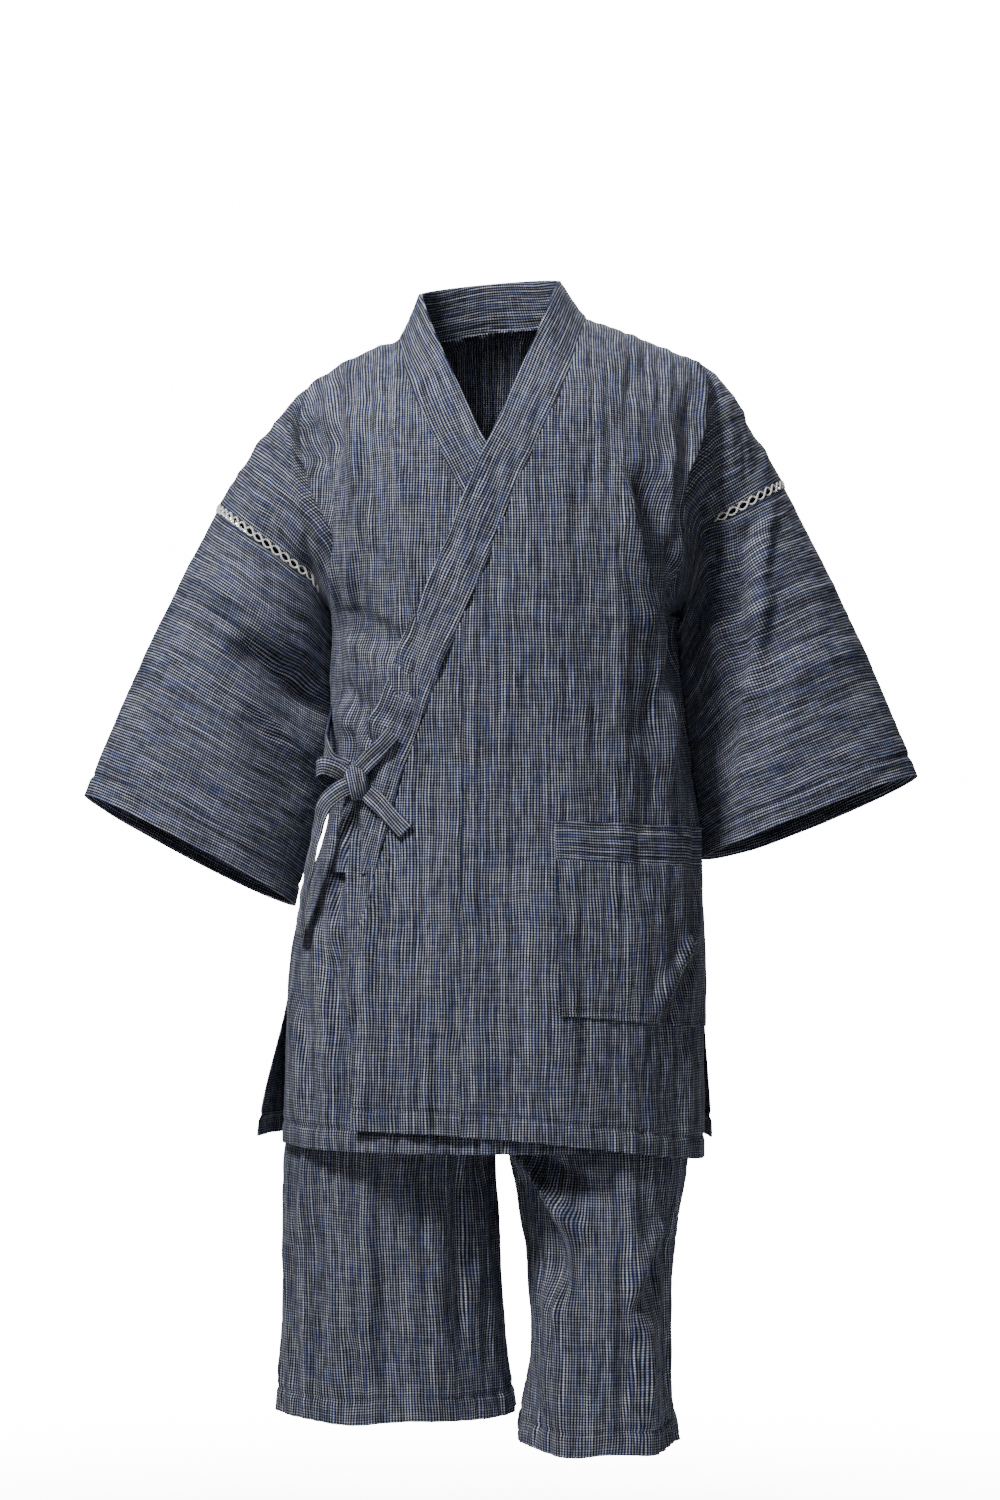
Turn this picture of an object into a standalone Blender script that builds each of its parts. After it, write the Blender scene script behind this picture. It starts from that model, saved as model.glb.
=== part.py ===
"""A jinbei set as it is worn: wrapped jacket with a tied bow, wide laced sleeves and knee shorts.

Metres, +Z up, +X to the wearer's left, the front faces -Y. The origin is the middle of the shoulder line.
Every cloth piece is a grid of points on a worked-out surface, given a wall by Solidify.
"""
import math

import bmesh
import bpy
import numpy as np
from mathutils import Matrix, Vector

# Cloth and seams
CLOTH = 0.0012
BAND_CLOTH = 0.0030
TIE_CLOTH = 0.0016
SEAM = 0.0003
LAP = 0.0065
RIGHT = -1
LEFT = 1
FRONT = -1
BACK = 1

# Heights
ARMPIT_Z = -0.270
SLIT_Z = -0.610
BACK_HEM_Z = -0.758
INNER_HEM_Z = -0.759
OUTER_HEM_Z = -0.740
OUTER_HEM_DROP = 0.033

# Torso sections from the hem up: half outline of the closed jacket at each height
FULLNESS = 2.4
TORSO = {
    "z": (-0.780, -0.610, -0.530, -0.470, -0.400, -0.340, -0.270, -0.200, -0.100, 0.060),
    "right": (-0.194, -0.186, -0.168, -0.150, -0.147, -0.146, -0.148, -0.190, -0.205, -0.210),
    "left": (0.197, 0.197, 0.197, 0.196, 0.189, 0.179, 0.174, 0.220, 0.235, 0.240),
    "front": (-0.142, -0.132, -0.125, -0.121, -0.122, -0.126, -0.130, -0.129, -0.122, -0.110),
    "side": (-0.010, 0.000, 0.005, 0.010, 0.015, 0.022, 0.035, 0.038, 0.040, 0.040),
    "back": (0.130, 0.120, 0.112, 0.108, 0.112, 0.118, 0.125, 0.127, 0.122, 0.110),
}

# Shoulder line seen from the front, from the right lacing to the left lacing
SHOULDER = {
    "x": (-0.260, -0.245, -0.221, -0.190, -0.162, -0.125, -0.087, 0.000,
          0.087, 0.139, 0.173, 0.206, 0.221, 0.240, 0.262, 0.2743),
    "z": (-0.162, -0.139, -0.105, -0.066, -0.044, -0.022, -0.009, 0.022,
          0.010, -0.007, -0.0204, -0.0355, -0.0506, -0.0838, -0.119, -0.1396),
}
NECK_X = 0.087
NECK_Y = 0.010
NECK_DEPTH = 0.056
NECK_SHARE = 0.36
NECK_CLEAR = 0.0009
SHOULDER_BACKSET = 0.030
FRONT_ROUNDING = 0.150
BACK_ROUNDING = 0.130

# Sleeve rings: shoulder corner and armpit corner where the body panel ends, and the cuff
RING = {
    RIGHT: {"top": (-0.260, 0.040, -0.162), "armpit": (-0.151, 0.035, -0.267)},
    LEFT: {"top": (0.2743, 0.040, -0.1396), "armpit": (0.177, 0.035, -0.267)},
}
CUFF = {
    RIGHT: {"top": (-0.382, -0.012, -0.438), "armpit": (-0.187, -0.012, -0.541)},
    LEFT: {"top": (0.397, -0.012, -0.420), "armpit": (0.208, -0.012, -0.497)},
}
RING_DEPTH = 0.070
CUFF_DEPTH = 0.048
CUFF_LEAN = 0.22
LACING_GAP = 0.0070
THREAD = 0.0016
LACING_TURNS = 25
ARMPIT_SHIFT = 0.0028
ARMPIT_GAP = 0.0012
SLEEVE_ROWS = (0.0, 0.08, 0.20, 0.34, 0.48, 0.62, 0.76, 0.89, 1.0)
SLEEVE_TOP_BULGE = 0.005
SLEEVE_SIDE_BULGE = {RIGHT: 0.006, LEFT: -0.005}
SLEEVE_DEPTH_BULGE = 0.004
SLIT_THREAD = 0.0013
SLIT_STITCHES = 5
SLIT_STITCH_PITCH = 0.006

# Collar seam on each front, from its lower end up to the shoulder line
COLLAR_WIDTH = 0.040
COLLAR_END_Z = -0.510
COLLAR_SEAM = {
    LEFT: {
        "z": (-0.510, -0.470, -0.422, -0.382, -0.332, -0.270, -0.209, -0.158, -0.095, -0.033, 0.010),
        "x": (-0.104, -0.092, -0.080, -0.0665, -0.0494, -0.025, 0.000, 0.0193, 0.0494, 0.073, 0.087),
    },
    RIGHT: {
        "z": (-0.510, -0.470, -0.422, -0.382, -0.332, -0.270, -0.209, -0.158, -0.100, -0.047, -0.009),
        "x": (0.102, 0.091, 0.079, 0.0655, 0.048, 0.024, 0.000, -0.028, -0.058, -0.078, -0.087),
    },
}
COLLAR_TOP = {RIGHT: (-0.068, 0.005, 0.034), LEFT: (0.062, 0.005, 0.046)}
COLLAR_TOP_DEPTH = 0.048
COLLAR_TOP_RISE = 0.010
COLLAR_COLUMNS = 3

# Front edge below the collar, and the gore's seam
FREE_EDGE = {
    LEFT: {"z": (-0.780, -0.675, -0.585, -0.5575, -0.540, -0.510),
           "x": (-0.123, -0.125, -0.125, -0.118, -0.110, -0.104)},
    RIGHT: {"z": (-0.780, -0.675, -0.585, -0.5575, -0.540, -0.510),
            "x": (0.124, 0.124, 0.122, 0.116, 0.109, 0.102)},
}
GORE_SEAM = {LEFT: (-0.029, -0.025), RIGHT: (0.008, 0.024)}
GORE_TIP_LEVEL = 0.965

# Rows: 0 is the hem, 1 the armpit and 2 the shoulder line
POCKET_FOOT = 0.2415
POCKET_SPLIT = 0.533
POCKET_TOP = 0.607
COLLAR_END = 0.489
FRONT_ROWS = (0.0, 0.08, 0.16, POCKET_FOOT, 0.32, 0.405, COLLAR_END, POCKET_SPLIT, POCKET_TOP,
              0.70, 0.80, 0.90, 1.0)
BACK_ROWS = (0.0, 0.10, 0.20, 0.30, 0.42, 0.54, 0.66, 0.78, 0.89, 1.0)
YOKE_ROWS = (0.10, 0.20, 0.31, 0.42, 0.53, 0.64, 0.75, 0.85, 0.93)

# Columns of a body panel: chest part up to the armhole crease, then the upper arm part
CHEST_COLUMNS = 8
ARM_COLUMNS = 5
CREASE_FOOT = 0.80
CREASE_HEAD = 0.52
CREASE_WIDTH = 0.14
GORE_COLUMNS = 4
POCKET_COLUMN = {"inner": 2, "outer": 11}
POCKET_BAND_CLOTH = 0.0018

# Large folds of the fronts, seen from the front: ridges are positive, troughs negative
FRONT_FOLDS = {
    "top_x": (0.118, 0.160, -0.118, -0.105, 0.060, -0.150, -0.150),
    "top_z": (-0.140, -0.120, -0.300, -0.330, -0.520, -0.600, -0.520),
    "foot_x": (0.116, 0.150, -0.070, -0.060, 0.052, -0.165, -0.150),
    "foot_z": (-0.400, -0.300, -0.290, -0.360, -0.700, -0.740, -0.640),
    "width": (0.016, 0.014, 0.014, 0.013, 0.022, 0.014, 0.015),
    "height": (0.0050, -0.0045, -0.0035, 0.0035, 0.0035, 0.0040, -0.0040),
}

# Shorts: leg sections from the hem up to the crotch, then the hips up to the waist
CROTCH_Z = -0.700
SEAT_Z = -0.600
HIP_X = 0.006
LEG_ROUND = 2.2
LEGS = {
    RIGHT: {"z": (-1.012, -0.950, -0.860, -0.780, CROTCH_Z), "inner": (0.0200, 0.0120, 0.0060, 0.0020, 0.0051),
            "outer": (-0.199, -0.196, -0.196, -0.1945, -0.184), "front": (-0.085, -0.085, -0.088, -0.095, -0.105),
            "back": (0.075, 0.078, 0.085, 0.090, 0.100)},
    LEFT: {"z": (-1.032, -0.950, -0.860, -0.780, CROTCH_Z), "inner": (0.0240, 0.0360, 0.0320, 0.0180, 0.0069),
           "outer": (0.172, 0.163, 0.166, 0.180, 0.185), "front": (-0.140, -0.136, -0.130, -0.120, -0.112),
           "back": (0.062, 0.066, 0.074, 0.084, 0.098)},
}
HIPS = {
    "z": (CROTCH_Z, -0.640, SEAT_Z, -0.520, -0.440),
    "half": (0.183, 0.176, 0.168, 0.146, 0.128),
    "front": (-0.112, -0.112, -0.108, -0.098, -0.086),
    "back": (0.104, 0.104, 0.102, 0.094, 0.082),
}
LEG_ROWS = (-1.0, -0.86, -0.72, -0.58, -0.44, -0.30, -0.15, 0.0, 0.10, 0.20, 0.32, 0.46, 0.62, 0.80, 1.0)
LEG_COLUMNS = 26
WAISTBAND_HEIGHT = 0.040
WAISTBAND_CLOTH = 0.0026

# Bow at the right waist: stations of each strap's middle line, and the way its face looks
# (degrees from the front towards the wearer's right)
KNOT_PLACE = (-0.1243, -0.0937, -0.4248)
KNOT_SIZE = (0.0085, 0.0090, 0.0165)
KNOT_TURN = math.radians(-12.0)
TIE_WIDTH = 0.0135
BOW = {
    "bow_end_upper": {
        "x": (-0.1215, -0.1080, -0.0990, -0.0905),
        "y": (-0.0965, -0.1035, -0.1082, -0.1126),
        "z": (-0.4125, -0.3985, -0.3890, -0.3790),
        "facing": (10, 8, 6, 6),
    },
    "bow_end_lower": {
        "x": (-0.1142, -0.1020, -0.0900, -0.0790),
        "y": (-0.0975, -0.1030, -0.1088, -0.1146),
        "z": (-0.4333, -0.4420, -0.4520, -0.4620),
        "facing": (12, 10, 8, 6),
    },
    "bow_loop": {
        "x": (-0.1366, -0.1460, -0.1570, -0.1645, -0.1670, -0.1630, -0.1520, -0.1400),
        "y": (-0.0930, -0.0930, -0.0915, -0.0875, -0.0830, -0.0800, -0.0800, -0.0820),
        "z": (-0.4180, -0.4095, -0.4055, -0.4095, -0.4200, -0.4300, -0.4340, -0.4300),
        "facing": (5, 10, 35, 70, 100, 135, 165, 175),
    },
    "bow_tail": {
        "x": (-0.1344, -0.1455, -0.1563, -0.1627, -0.1672, -0.1763, -0.1736),
        "y": (-0.0985, -0.0985, -0.0960, -0.0920, -0.0860, -0.0760, -0.0720),
        "z": (-0.4270, -0.4365, -0.4476, -0.4722, -0.5013, -0.5450, -0.5668),
        "facing": (10, 25, 45, 56, 56, 56, 50),
    },
    "tie_side": {
        "x": (-0.1480, -0.1488, -0.1470, -0.1400, -0.1275),
        "y": (0.0050, -0.0260, -0.0530, -0.0740, -0.0925),
        "z": (-0.3520, -0.3660, -0.3820, -0.3950, -0.4040),
        "facing": (90, 86, 66, 50, 35),
    },
}

COLOURS = {
    "yarn_dyed_cotton": ((0.105, 0.125, 0.190, 1.0), 0.85),
    "cotton_thread": ((0.76, 0.75, 0.71, 1.0), 0.75),
    "elastic_band": ((0.045, 0.055, 0.090, 1.0), 0.80),
}


def clear_scene():
    """Empty the scene so that a second run starts clean."""
    for old in list(bpy.data.objects):
        bpy.data.objects.remove(old, do_unlink=True)


def mix(start, end, share):
    return start + (end - start) * share


def ease(low, high, value):
    share = min(max((value - low) / (high - low), 0.0), 1.0)
    return share * share * (3.0 - 2.0 * share)


def smooth(knots, values, at):
    """Read a cubic curve through (knots, values), slopes taken from the neighbouring knots."""
    slopes = np.gradient(values, knots)
    k = int(np.clip(np.searchsorted(knots, at) - 1, 0, len(knots) - 2))
    span = knots[k + 1] - knots[k]
    t = min(max((at - knots[k]) / span, 0.0), 1.0)
    rise = (2 * t ** 3 - 3 * t ** 2 + 1) * values[k] + (3 * t ** 2 - 2 * t ** 3) * values[k + 1]
    return rise + span * ((t ** 3 - 2 * t ** 2 + t) * slopes[k] + (t ** 3 - t ** 2) * slopes[k + 1])


def torso(column, z):
    return smooth(TORSO["z"], TORSO[column], z)


def shoulder_z(x):
    return smooth(SHOULDER["x"], SHOULDER["z"], x)


def shoulder_y(x):
    return NECK_Y + SHOULDER_BACKSET * ease(NECK_X, 0.26, abs(x))


def across(x, z):
    """Share of the way from the torso's middle to its side, from -1 to 1."""
    middle = (torso("right", z) + torso("left", z)) / 2
    half = (torso("left", z) - torso("right", z)) / 2
    return (x - middle) / half


def torso_y(x, z, face):
    """Depth of the jacket's surface at a point of the front or back view."""
    share = min(abs(across(x, z)), 1.0)
    bulge = (1.0 - share ** FULLNESS) ** (1.0 / FULLNESS)
    reach = torso("front" if face == FRONT else "back", z)
    full = torso("side", z) + (reach - torso("side", z)) * bulge
    rounding = FRONT_ROUNDING if face == FRONT else BACK_ROUNDING
    drop = min(max((shoulder_z(x) - z) / rounding, 0.0), 1.0)
    crown = math.sqrt(1.0 - (1.0 - drop) ** 2)
    return shoulder_y(x) + (full - shoulder_y(x)) * crown


def hem_z(side, face, x):
    if face == BACK:
        return BACK_HEM_Z
    if side == RIGHT:
        return INNER_HEM_Z
    return OUTER_HEM_Z - OUTER_HEM_DROP * ((x - FREE_EDGE[LEFT]["x"][0]) / 0.318) ** 2


def lap_lift(side, x, z):
    """How far the outer front stands off the inner one: full where they lie on each other."""
    if side == RIGHT:
        return 0.0
    fade = mix(0.135, 0.090, ease(-0.300, -0.220, z))
    return LAP * (1.0 - ease(fade, fade + 0.035, x)) * (1.0 - ease(-0.080, -0.010, z))


def off_front(point, height):
    """Move a front point out of the surface by a height, along the smooth surface's own direction."""
    step = 0.002
    rise_x = torso_y(point.x + step, point.z, FRONT) - torso_y(point.x - step, point.z, FRONT)
    rise_z = torso_y(point.x, point.z + step, FRONT) - torso_y(point.x, point.z - step, FRONT)
    return point + Vector((rise_x / (2 * step), -1.0, rise_z / (2 * step))).normalized() * height


def fold_height(x, z):
    """Sum of the large folds at a point of the front view; they die out at the side seams."""
    total = 0.0
    for top_x, top_z, foot_x, foot_z, width, height in zip(*FRONT_FOLDS.values()):
        run = Vector((foot_x - top_x, foot_z - top_z))
        along = Vector((x - top_x, z - top_z)).dot(run) / run.length_squared
        aside = Vector((x - top_x, z - top_z)) - run * min(max(along, 0.0), 1.0)
        total += height * math.exp(-(aside.length / width) ** 2)
    return total * (1.0 - ease(0.86, 0.97, abs(across(x, z))))


def side_flare(side, face, z):
    """How far the back's slit edge swings out below the slit."""
    swing = 0.028 if side == RIGHT else 0.008
    if face == FRONT:
        return 0.0
    return swing * ease(0.0, 0.16, SLIT_Z - z)


def lower_point(side, face, start_x, level, u):
    """Point on the torso below the armpit: u runs from start_x to the side seam."""
    guess = mix(hem_z(side, face, start_x), ARMPIT_Z, level)
    first = across(start_x, guess)
    angle = math.copysign(math.asin(min(abs(first), 1.0) ** (FULLNESS / 2)), first)
    angle = mix(angle, side * math.pi / 2, u)
    share = math.copysign(abs(math.sin(angle)) ** (2 / FULLNESS), angle)
    middle = (torso("right", guess) + torso("left", guess)) / 2
    half = (torso("left", guess) - torso("right", guess)) / 2
    x = middle + half * share
    z = mix(hem_z(side, face, x), ARMPIT_Z, level)
    reach = torso("front" if face == FRONT else "back", z)
    bulge = abs(math.cos(angle)) ** (2 / FULLNESS)
    seam = side_seam(side, z)
    y = seam.y + (reach - seam.y) * bulge + face * mix(SEAM, ARMPIT_GAP, ease(0.85, 1.0, level))
    x += side * side_flare(side, face, z) * u ** 3
    y += 0.5 * side_flare(side, face, z) * u ** 3
    return Vector((x, y, z))


def side_seam(side, z):
    return Vector((torso("left" if side == LEFT else "right", z), torso("side", z), z))


def ring_point(side, face, w):
    """Point of the ring where the body panel ends: w is 0 at the armpit and 1 on the shoulder."""
    top = Vector(RING[side]["top"])
    armpit = Vector(RING[side]["armpit"])
    point = armpit.lerp(top, (1.0 - math.cos(math.pi * w)) / 2)
    point.y += face * (RING_DEPTH * math.sin(math.pi * w) + SEAM * (1.0 - ease(0.0, 0.3, w)))
    return point


def neck_point(side, t):
    """Neckline behind the shoulder line: t is 0 on the shoulder and 1 at the centre back."""
    x = side * max(NECK_X * math.cos(math.pi / 2 * t), SEAM)
    y = NECK_Y + NECK_DEPTH * math.sin(math.pi / 2 * t)
    full = torso_y(x, shoulder_z(x) - BACK_ROUNDING, BACK)
    crown = (y - shoulder_y(x)) / (full - shoulder_y(x))
    return Vector((x, y, shoulder_z(x) - BACK_ROUNDING * (1.0 - math.sqrt(1.0 - crown ** 2))))


def edge_point(side, face, w):
    """Inner edge of the body panel above the armpit: collar seam, neckline or centre back."""
    if face == FRONT:
        table = COLLAR_SEAM[side]
        z = mix(ARMPIT_Z, table["z"][-1], math.sin(math.pi / 2 * w))
        x = smooth(table["z"], table["x"], z)
        return Vector((x, torso_y(x, z, FRONT), z))
    if w > 1.0 - NECK_SHARE:
        return neck_point(side, (1.0 - w) / NECK_SHARE)
    low = neck_point(side, 1.0)
    z = mix(ARMPIT_Z, low.z, w / (1.0 - NECK_SHARE))
    return Vector((side * SEAM, torso_y(0.0, z, BACK), z))


def shoulder_point(side, u):
    x = mix(side * NECK_X, RING[side]["top"][0], u)
    return Vector((x, shoulder_y(x), shoulder_z(x)))


def start_x(side, face, level):
    if face == BACK:
        return side * SEAM
    return mix(*GORE_SEAM[side], level)


def yoke_point(side, face, w, u):
    """Point above the armpit: a patch between armpit row, shoulder line, inner edge and ring."""
    low = lower_point(side, face, edge_point(side, face, 0.0).x, 1.0, u)
    high = shoulder_point(side, u)
    inner = edge_point(side, face, w)
    outer = ring_point(side, face, w)
    across_share = low.lerp(high, w)
    start = edge_point(side, face, 0.0).lerp(shoulder_point(side, 0.0), w)
    end = ring_point(side, face, 0.0).lerp(ring_point(side, face, 1.0), w)
    point = across_share + (inner - start) * (1.0 - u) + (outer - end) * u
    chest = torso_y(point.x, point.z, face) + face * SEAM * (1.0 - ease(0.0, 0.3, w))
    arm = shoulder_y(point.x) + face * RING_DEPTH * math.sin(math.pi * w) ** 0.8
    crease = mix(CREASE_FOOT, CREASE_HEAD, w)
    turn = ease(crease - 0.02, crease + CREASE_WIDTH, u) * ease(0.0, 0.20, w)
    point.y = mix(mix(chest, arm, turn), outer.y, ease(0.85, 1.0, u))
    if w >= 1.0:
        point.y = shoulder_y(point.x)
    return point


def body_point(side, face, level, u):
    if level <= 1.0:
        start = start_x(side, face, level) + side * SEAM / 2 * (1 if face == FRONT else 0)
        return lower_point(side, face, start, level, u)
    return yoke_point(side, face, level - 1.0, u)


def columns(level):
    """Column places from the inner edge to the side, with two of them on the armhole crease."""
    crease = mix(CREASE_FOOT, CREASE_HEAD, min(max(level - 1.0, 0.0), 1.0))
    chest = [crease * k / CHEST_COLUMNS for k in range(CHEST_COLUMNS)]
    arm = [mix(crease, 1.0, k / ARM_COLUMNS) for k in range(ARM_COLUMNS + 1)]
    return chest + arm


def sheet(name, material, rows, thickness, closed=False):
    """Make a cloth piece from rows of points: a grid moved into place, then given its wall."""
    bm = bmesh.new()
    grid = [[bm.verts.new(point) for point in row] for row in rows]
    for lower, upper in zip(grid, grid[1:]):
        pairs = list(zip(lower, lower[1:], upper[1:], upper))
        if closed:
            pairs.append((lower[-1], lower[0], upper[0], upper[-1]))
        for corners in pairs:
            bm.faces.new(corners)
    bmesh.ops.triangulate(bm, faces=bm.faces[:], quad_method="FIXED")
    mesh = bpy.data.meshes.new(name)
    bm.to_mesh(mesh)
    bm.free()
    mesh.shade_smooth()
    mesh.materials.append(material)
    piece = bpy.data.objects.new(name, mesh)
    bpy.context.collection.objects.link(piece)
    wall = piece.modifiers.new("cloth wall", "SOLIDIFY")
    wall.thickness = thickness
    wall.offset = 0.0
    return piece


def make_material(name):
    colour, roughness = COLOURS[name]
    material = bpy.data.materials.new(name)
    material.use_nodes = True
    shader = material.node_tree.nodes["Principled BSDF"]
    shader.inputs["Base Color"].default_value = colour
    shader.inputs["Roughness"].default_value = roughness
    shader.inputs["Metallic"].default_value = 0.0
    return material


def dressed(side, point, extra=0.0):
    """Push a front point out by the lap and by the folds that pass there."""
    height = lap_lift(side, point.x, point.z) + extra
    moved = off_front(point, height) if height > 0.0 else point
    return moved - Vector((0.0, fold_height(point.x, point.z), 0.0))


def body_rows(side):
    """All rows of a body panel: up the front, over the shoulder, down the back."""
    front = [(FRONT, level) for level in FRONT_ROWS] + [(FRONT, 1.0 + w) for w in YOKE_ROWS]
    back = [(BACK, level) for level in BACK_ROWS] + [(BACK, 1.0 + w) for w in YOKE_ROWS]
    order = front + [(FRONT, 2.0)] + back[::-1]
    rows = []
    for face, level in order:
        row = [body_point(side, face, level, u) for u in columns(level)]
        if face == FRONT:
            row = [dressed(side, point) for point in row]
        rows.append(row)
    return rows


def oriented(rows, side):
    """Rows in the order that makes the faces point outwards."""
    return rows if side == RIGHT else [row[::-1] for row in rows]


def make_body(side, material):
    rows = body_rows(side)
    name = "body_left" if side == LEFT else "body_right"
    return sheet(name, material, oriented(rows, side), CLOTH)


def gore_edge_x(side, z):
    if z >= COLLAR_END_Z:
        return smooth(COLLAR_SEAM[side]["z"], COLLAR_SEAM[side]["x"], z)
    return smooth(FREE_EDGE[side]["z"], FREE_EDGE[side]["x"], z)


def gore_point(side, level, share):
    """Point of the front gore: share is 0 at its seam and 1 at the front edge."""
    seam_x = start_x(side, FRONT, level) - side * SEAM / 2
    seam_z = mix(hem_z(side, FRONT, seam_x), ARMPIT_Z, level)
    edge = gore_edge_x(side, seam_z)
    x = mix(seam_x, edge, share)
    z = mix(hem_z(side, FRONT, x), ARMPIT_Z, level)
    return dressed(side, Vector((x, torso_y(x, z, FRONT) - SEAM, z)))


def make_gore(side, material):
    levels = [level for level in FRONT_ROWS if level < GORE_TIP_LEVEL] + [GORE_TIP_LEVEL]
    rows = [[gore_point(side, level, k / GORE_COLUMNS) for k in range(GORE_COLUMNS + 1)] for level in levels]
    name = "overlap_left" if side == LEFT else "overlap_right"
    ordered = oriented([row[::-1] for row in rows], side)
    return sheet(name, material, ordered, CLOTH)


def seam_direction(side, z):
    """Direction across the collar in the front view, from its seam to its free edge."""
    table = COLLAR_SEAM[side]
    step = 0.010
    slope = (smooth(table["z"], table["x"], z + step) - smooth(table["z"], table["x"], z - step)) / (2 * step)
    slope *= ease(COLLAR_END_Z, COLLAR_END_Z + 0.050, z)
    return Vector((-side, abs(slope))).normalized()


def crease_gap(lead, turn, along):
    """Gap between two walls that meet along a seam, so that their inner corners stay clear of each other."""
    axis = along.normalized()
    angle = (lead - axis * lead.dot(axis)).angle(turn - axis * turn.dot(axis))
    return SEAM + (CLOTH + BAND_CLOTH) / 2 * math.tan(min(angle, 1.9) / 2)


def collar_chest_row(side, level, gore):
    """One row across the collar on the chest, from its seam to its free edge."""
    if gore:
        start = gore_point(side, level, 1.0)
        before = gore_point(side, level, 0.9)
        along = gore_point(side, level + 0.01, 1.0) - start
    else:
        start = dressed(side, body_point(side, FRONT, level, 0.0))
        before = dressed(side, body_point(side, FRONT, level, 0.05))
        along = start - dressed(side, body_point(side, FRONT, max(level - 0.01, 1.0), 0.0))
        along += Vector((side * 1e-5, 0.0, 1e-5))
    flat = seam_direction(side, start.z)
    neck = Vector(COLLAR_TOP[side]) - edge_point(side, FRONT, 1.0)
    stand = ease(-0.085, COLLAR_SEAM[side]["z"][-1], start.z)
    base = edge_point(side, FRONT, level - 1.0) if not gore else start
    row = []
    for k in range(COLLAR_COLUMNS + 1):
        share = k / COLLAR_COLUMNS
        x = start.x + flat.x * COLLAR_WIDTH * share
        z = start.z + flat.y * COLLAR_WIDTH * share
        lying = dressed(side, Vector((x, torso_y(x, z, FRONT), z)))
        row.append(lying.lerp(base + neck * share, stand))
    turn = row[1] - row[0]
    row[0] = row[0] + turn.normalized() * crease_gap(start - before, turn, along)
    return row


def collar_neck_row(side, t, w):
    """One row of the collar behind the shoulder line: t is 0 on the shoulder and 1 at the centre back."""
    start = neck_point(side, t)
    before = body_point(side, BACK, 1.0 + w, 0.05)
    turn = (1.0 - side * math.cos(math.pi / 2 * t)) / 2
    top = Vector(COLLAR_TOP[LEFT]).lerp(Vector(COLLAR_TOP[RIGHT]), turn)
    top.y += COLLAR_TOP_DEPTH * math.sin(math.pi / 2 * t)
    top.z += COLLAR_TOP_RISE * math.sin(math.pi / 2 * t)
    row = [start.lerp(top, k / COLLAR_COLUMNS) for k in range(COLLAR_COLUMNS + 1)]
    clear = NECK_CLEAR + crease_gap(start - before, top - start, neck_point(side, t - 0.02) - start)
    row[0] = row[0] + (top - start).normalized() * clear
    return row


def collar_side_rows(side):
    """Rows of one half of the collar, from its lower end up to the centre back."""
    gore = [level for level in FRONT_ROWS if COLLAR_END <= level < GORE_TIP_LEVEL] + [GORE_TIP_LEVEL]
    rows = [collar_chest_row(side, level, True) for level in gore]
    rows += [collar_chest_row(side, 1.0 + w, False) for w in (0.0,) + YOKE_ROWS + (1.0,)]
    neck = [w for w in YOKE_ROWS[::-1] if w > 1.0 - NECK_SHARE + 1e-6] + [1.0 - NECK_SHARE]
    rows += [collar_neck_row(side, (1.0 - w) / NECK_SHARE, w) for w in neck]
    return rows


def make_collar(material):
    left = collar_side_rows(LEFT)
    right = collar_side_rows(RIGHT)
    return sheet("collar", material, left + right[-2::-1], BAND_CLOTH)


def sleeve_axis(side):
    ring = (Vector(RING[side]["top"]) + Vector(RING[side]["armpit"])) / 2
    cuff = (Vector(CUFF[side]["top"]) + Vector(CUFF[side]["armpit"])) / 2
    return (cuff - ring).normalized()


def cuff_point(side, face, w):
    point = Vector(CUFF[side]["armpit"]).lerp(Vector(CUFF[side]["top"]), (1.0 - math.cos(math.pi * w)) / 2)
    depth = face * CUFF_DEPTH * math.sin(math.pi * w)
    return point + Vector((0.0, depth, -CUFF_LEAN * depth))


def sleeve_point(side, face, w, t):
    """Point of the sleeve: t is 0 at the lacing and 1 at the cuff."""
    start = body_point(side, face, 1.0 + w, 1.0) + sleeve_axis(side) * LACING_GAP
    point = start.lerp(cuff_point(side, face, w), t)
    belly = math.sin(math.pi * t)
    side_bulge = SLEEVE_SIDE_BULGE[side] * (1.0 - ease(0.0, 0.4, w))
    point.x += side * (SLEEVE_TOP_BULGE * ease(0.6, 1.0, w) - side_bulge) * belly
    point.y += face * SLEEVE_DEPTH_BULGE * belly * math.sin(math.pi * w)
    return point


def around(side):
    """The ring's stations, from the armpit up the front and down the back."""
    front = [(FRONT, w) for w in (0.0,) + YOKE_ROWS + (1.0,)]
    return front + [(BACK, w) for w in YOKE_ROWS[::-1]]


def make_sleeve(side, material):
    rows = [[sleeve_point(side, face, w, t) for face, w in around(side)] for t in SLEEVE_ROWS]
    name = "sleeve_left" if side == LEFT else "sleeve_right"
    return sheet(name, material, oriented(rows, side), CLOTH, closed=True)


def along_ring(points, share):
    """Point and segment direction at a share of a closed ring's length."""
    loop = points + [points[0]]
    lengths = [(b - a).length for a, b in zip(loop, loop[1:])]
    left = share % 1.0 * sum(lengths)
    for a, b, length in zip(loop, loop[1:], lengths):
        if left <= length:
            return a.lerp(b, left / length)
        left -= length
    return loop[0]


def tube(name, material, points, diameter, cyclic):
    curve = bpy.data.curves.new(name, "CURVE")
    curve.dimensions = "3D"
    curve.bevel_depth = diameter / 2
    curve.bevel_resolution = 0
    curve.use_fill_caps = True
    spline = curve.splines.new("POLY")
    spline.points.add(len(points) - 1)
    for slot, point in zip(spline.points, points):
        slot.co = (*point, 1.0)
    spline.use_cyclic_u = cyclic
    curve.materials.append(material)
    piece = bpy.data.objects.new(name, curve)
    bpy.context.collection.objects.link(piece)
    return piece


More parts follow.
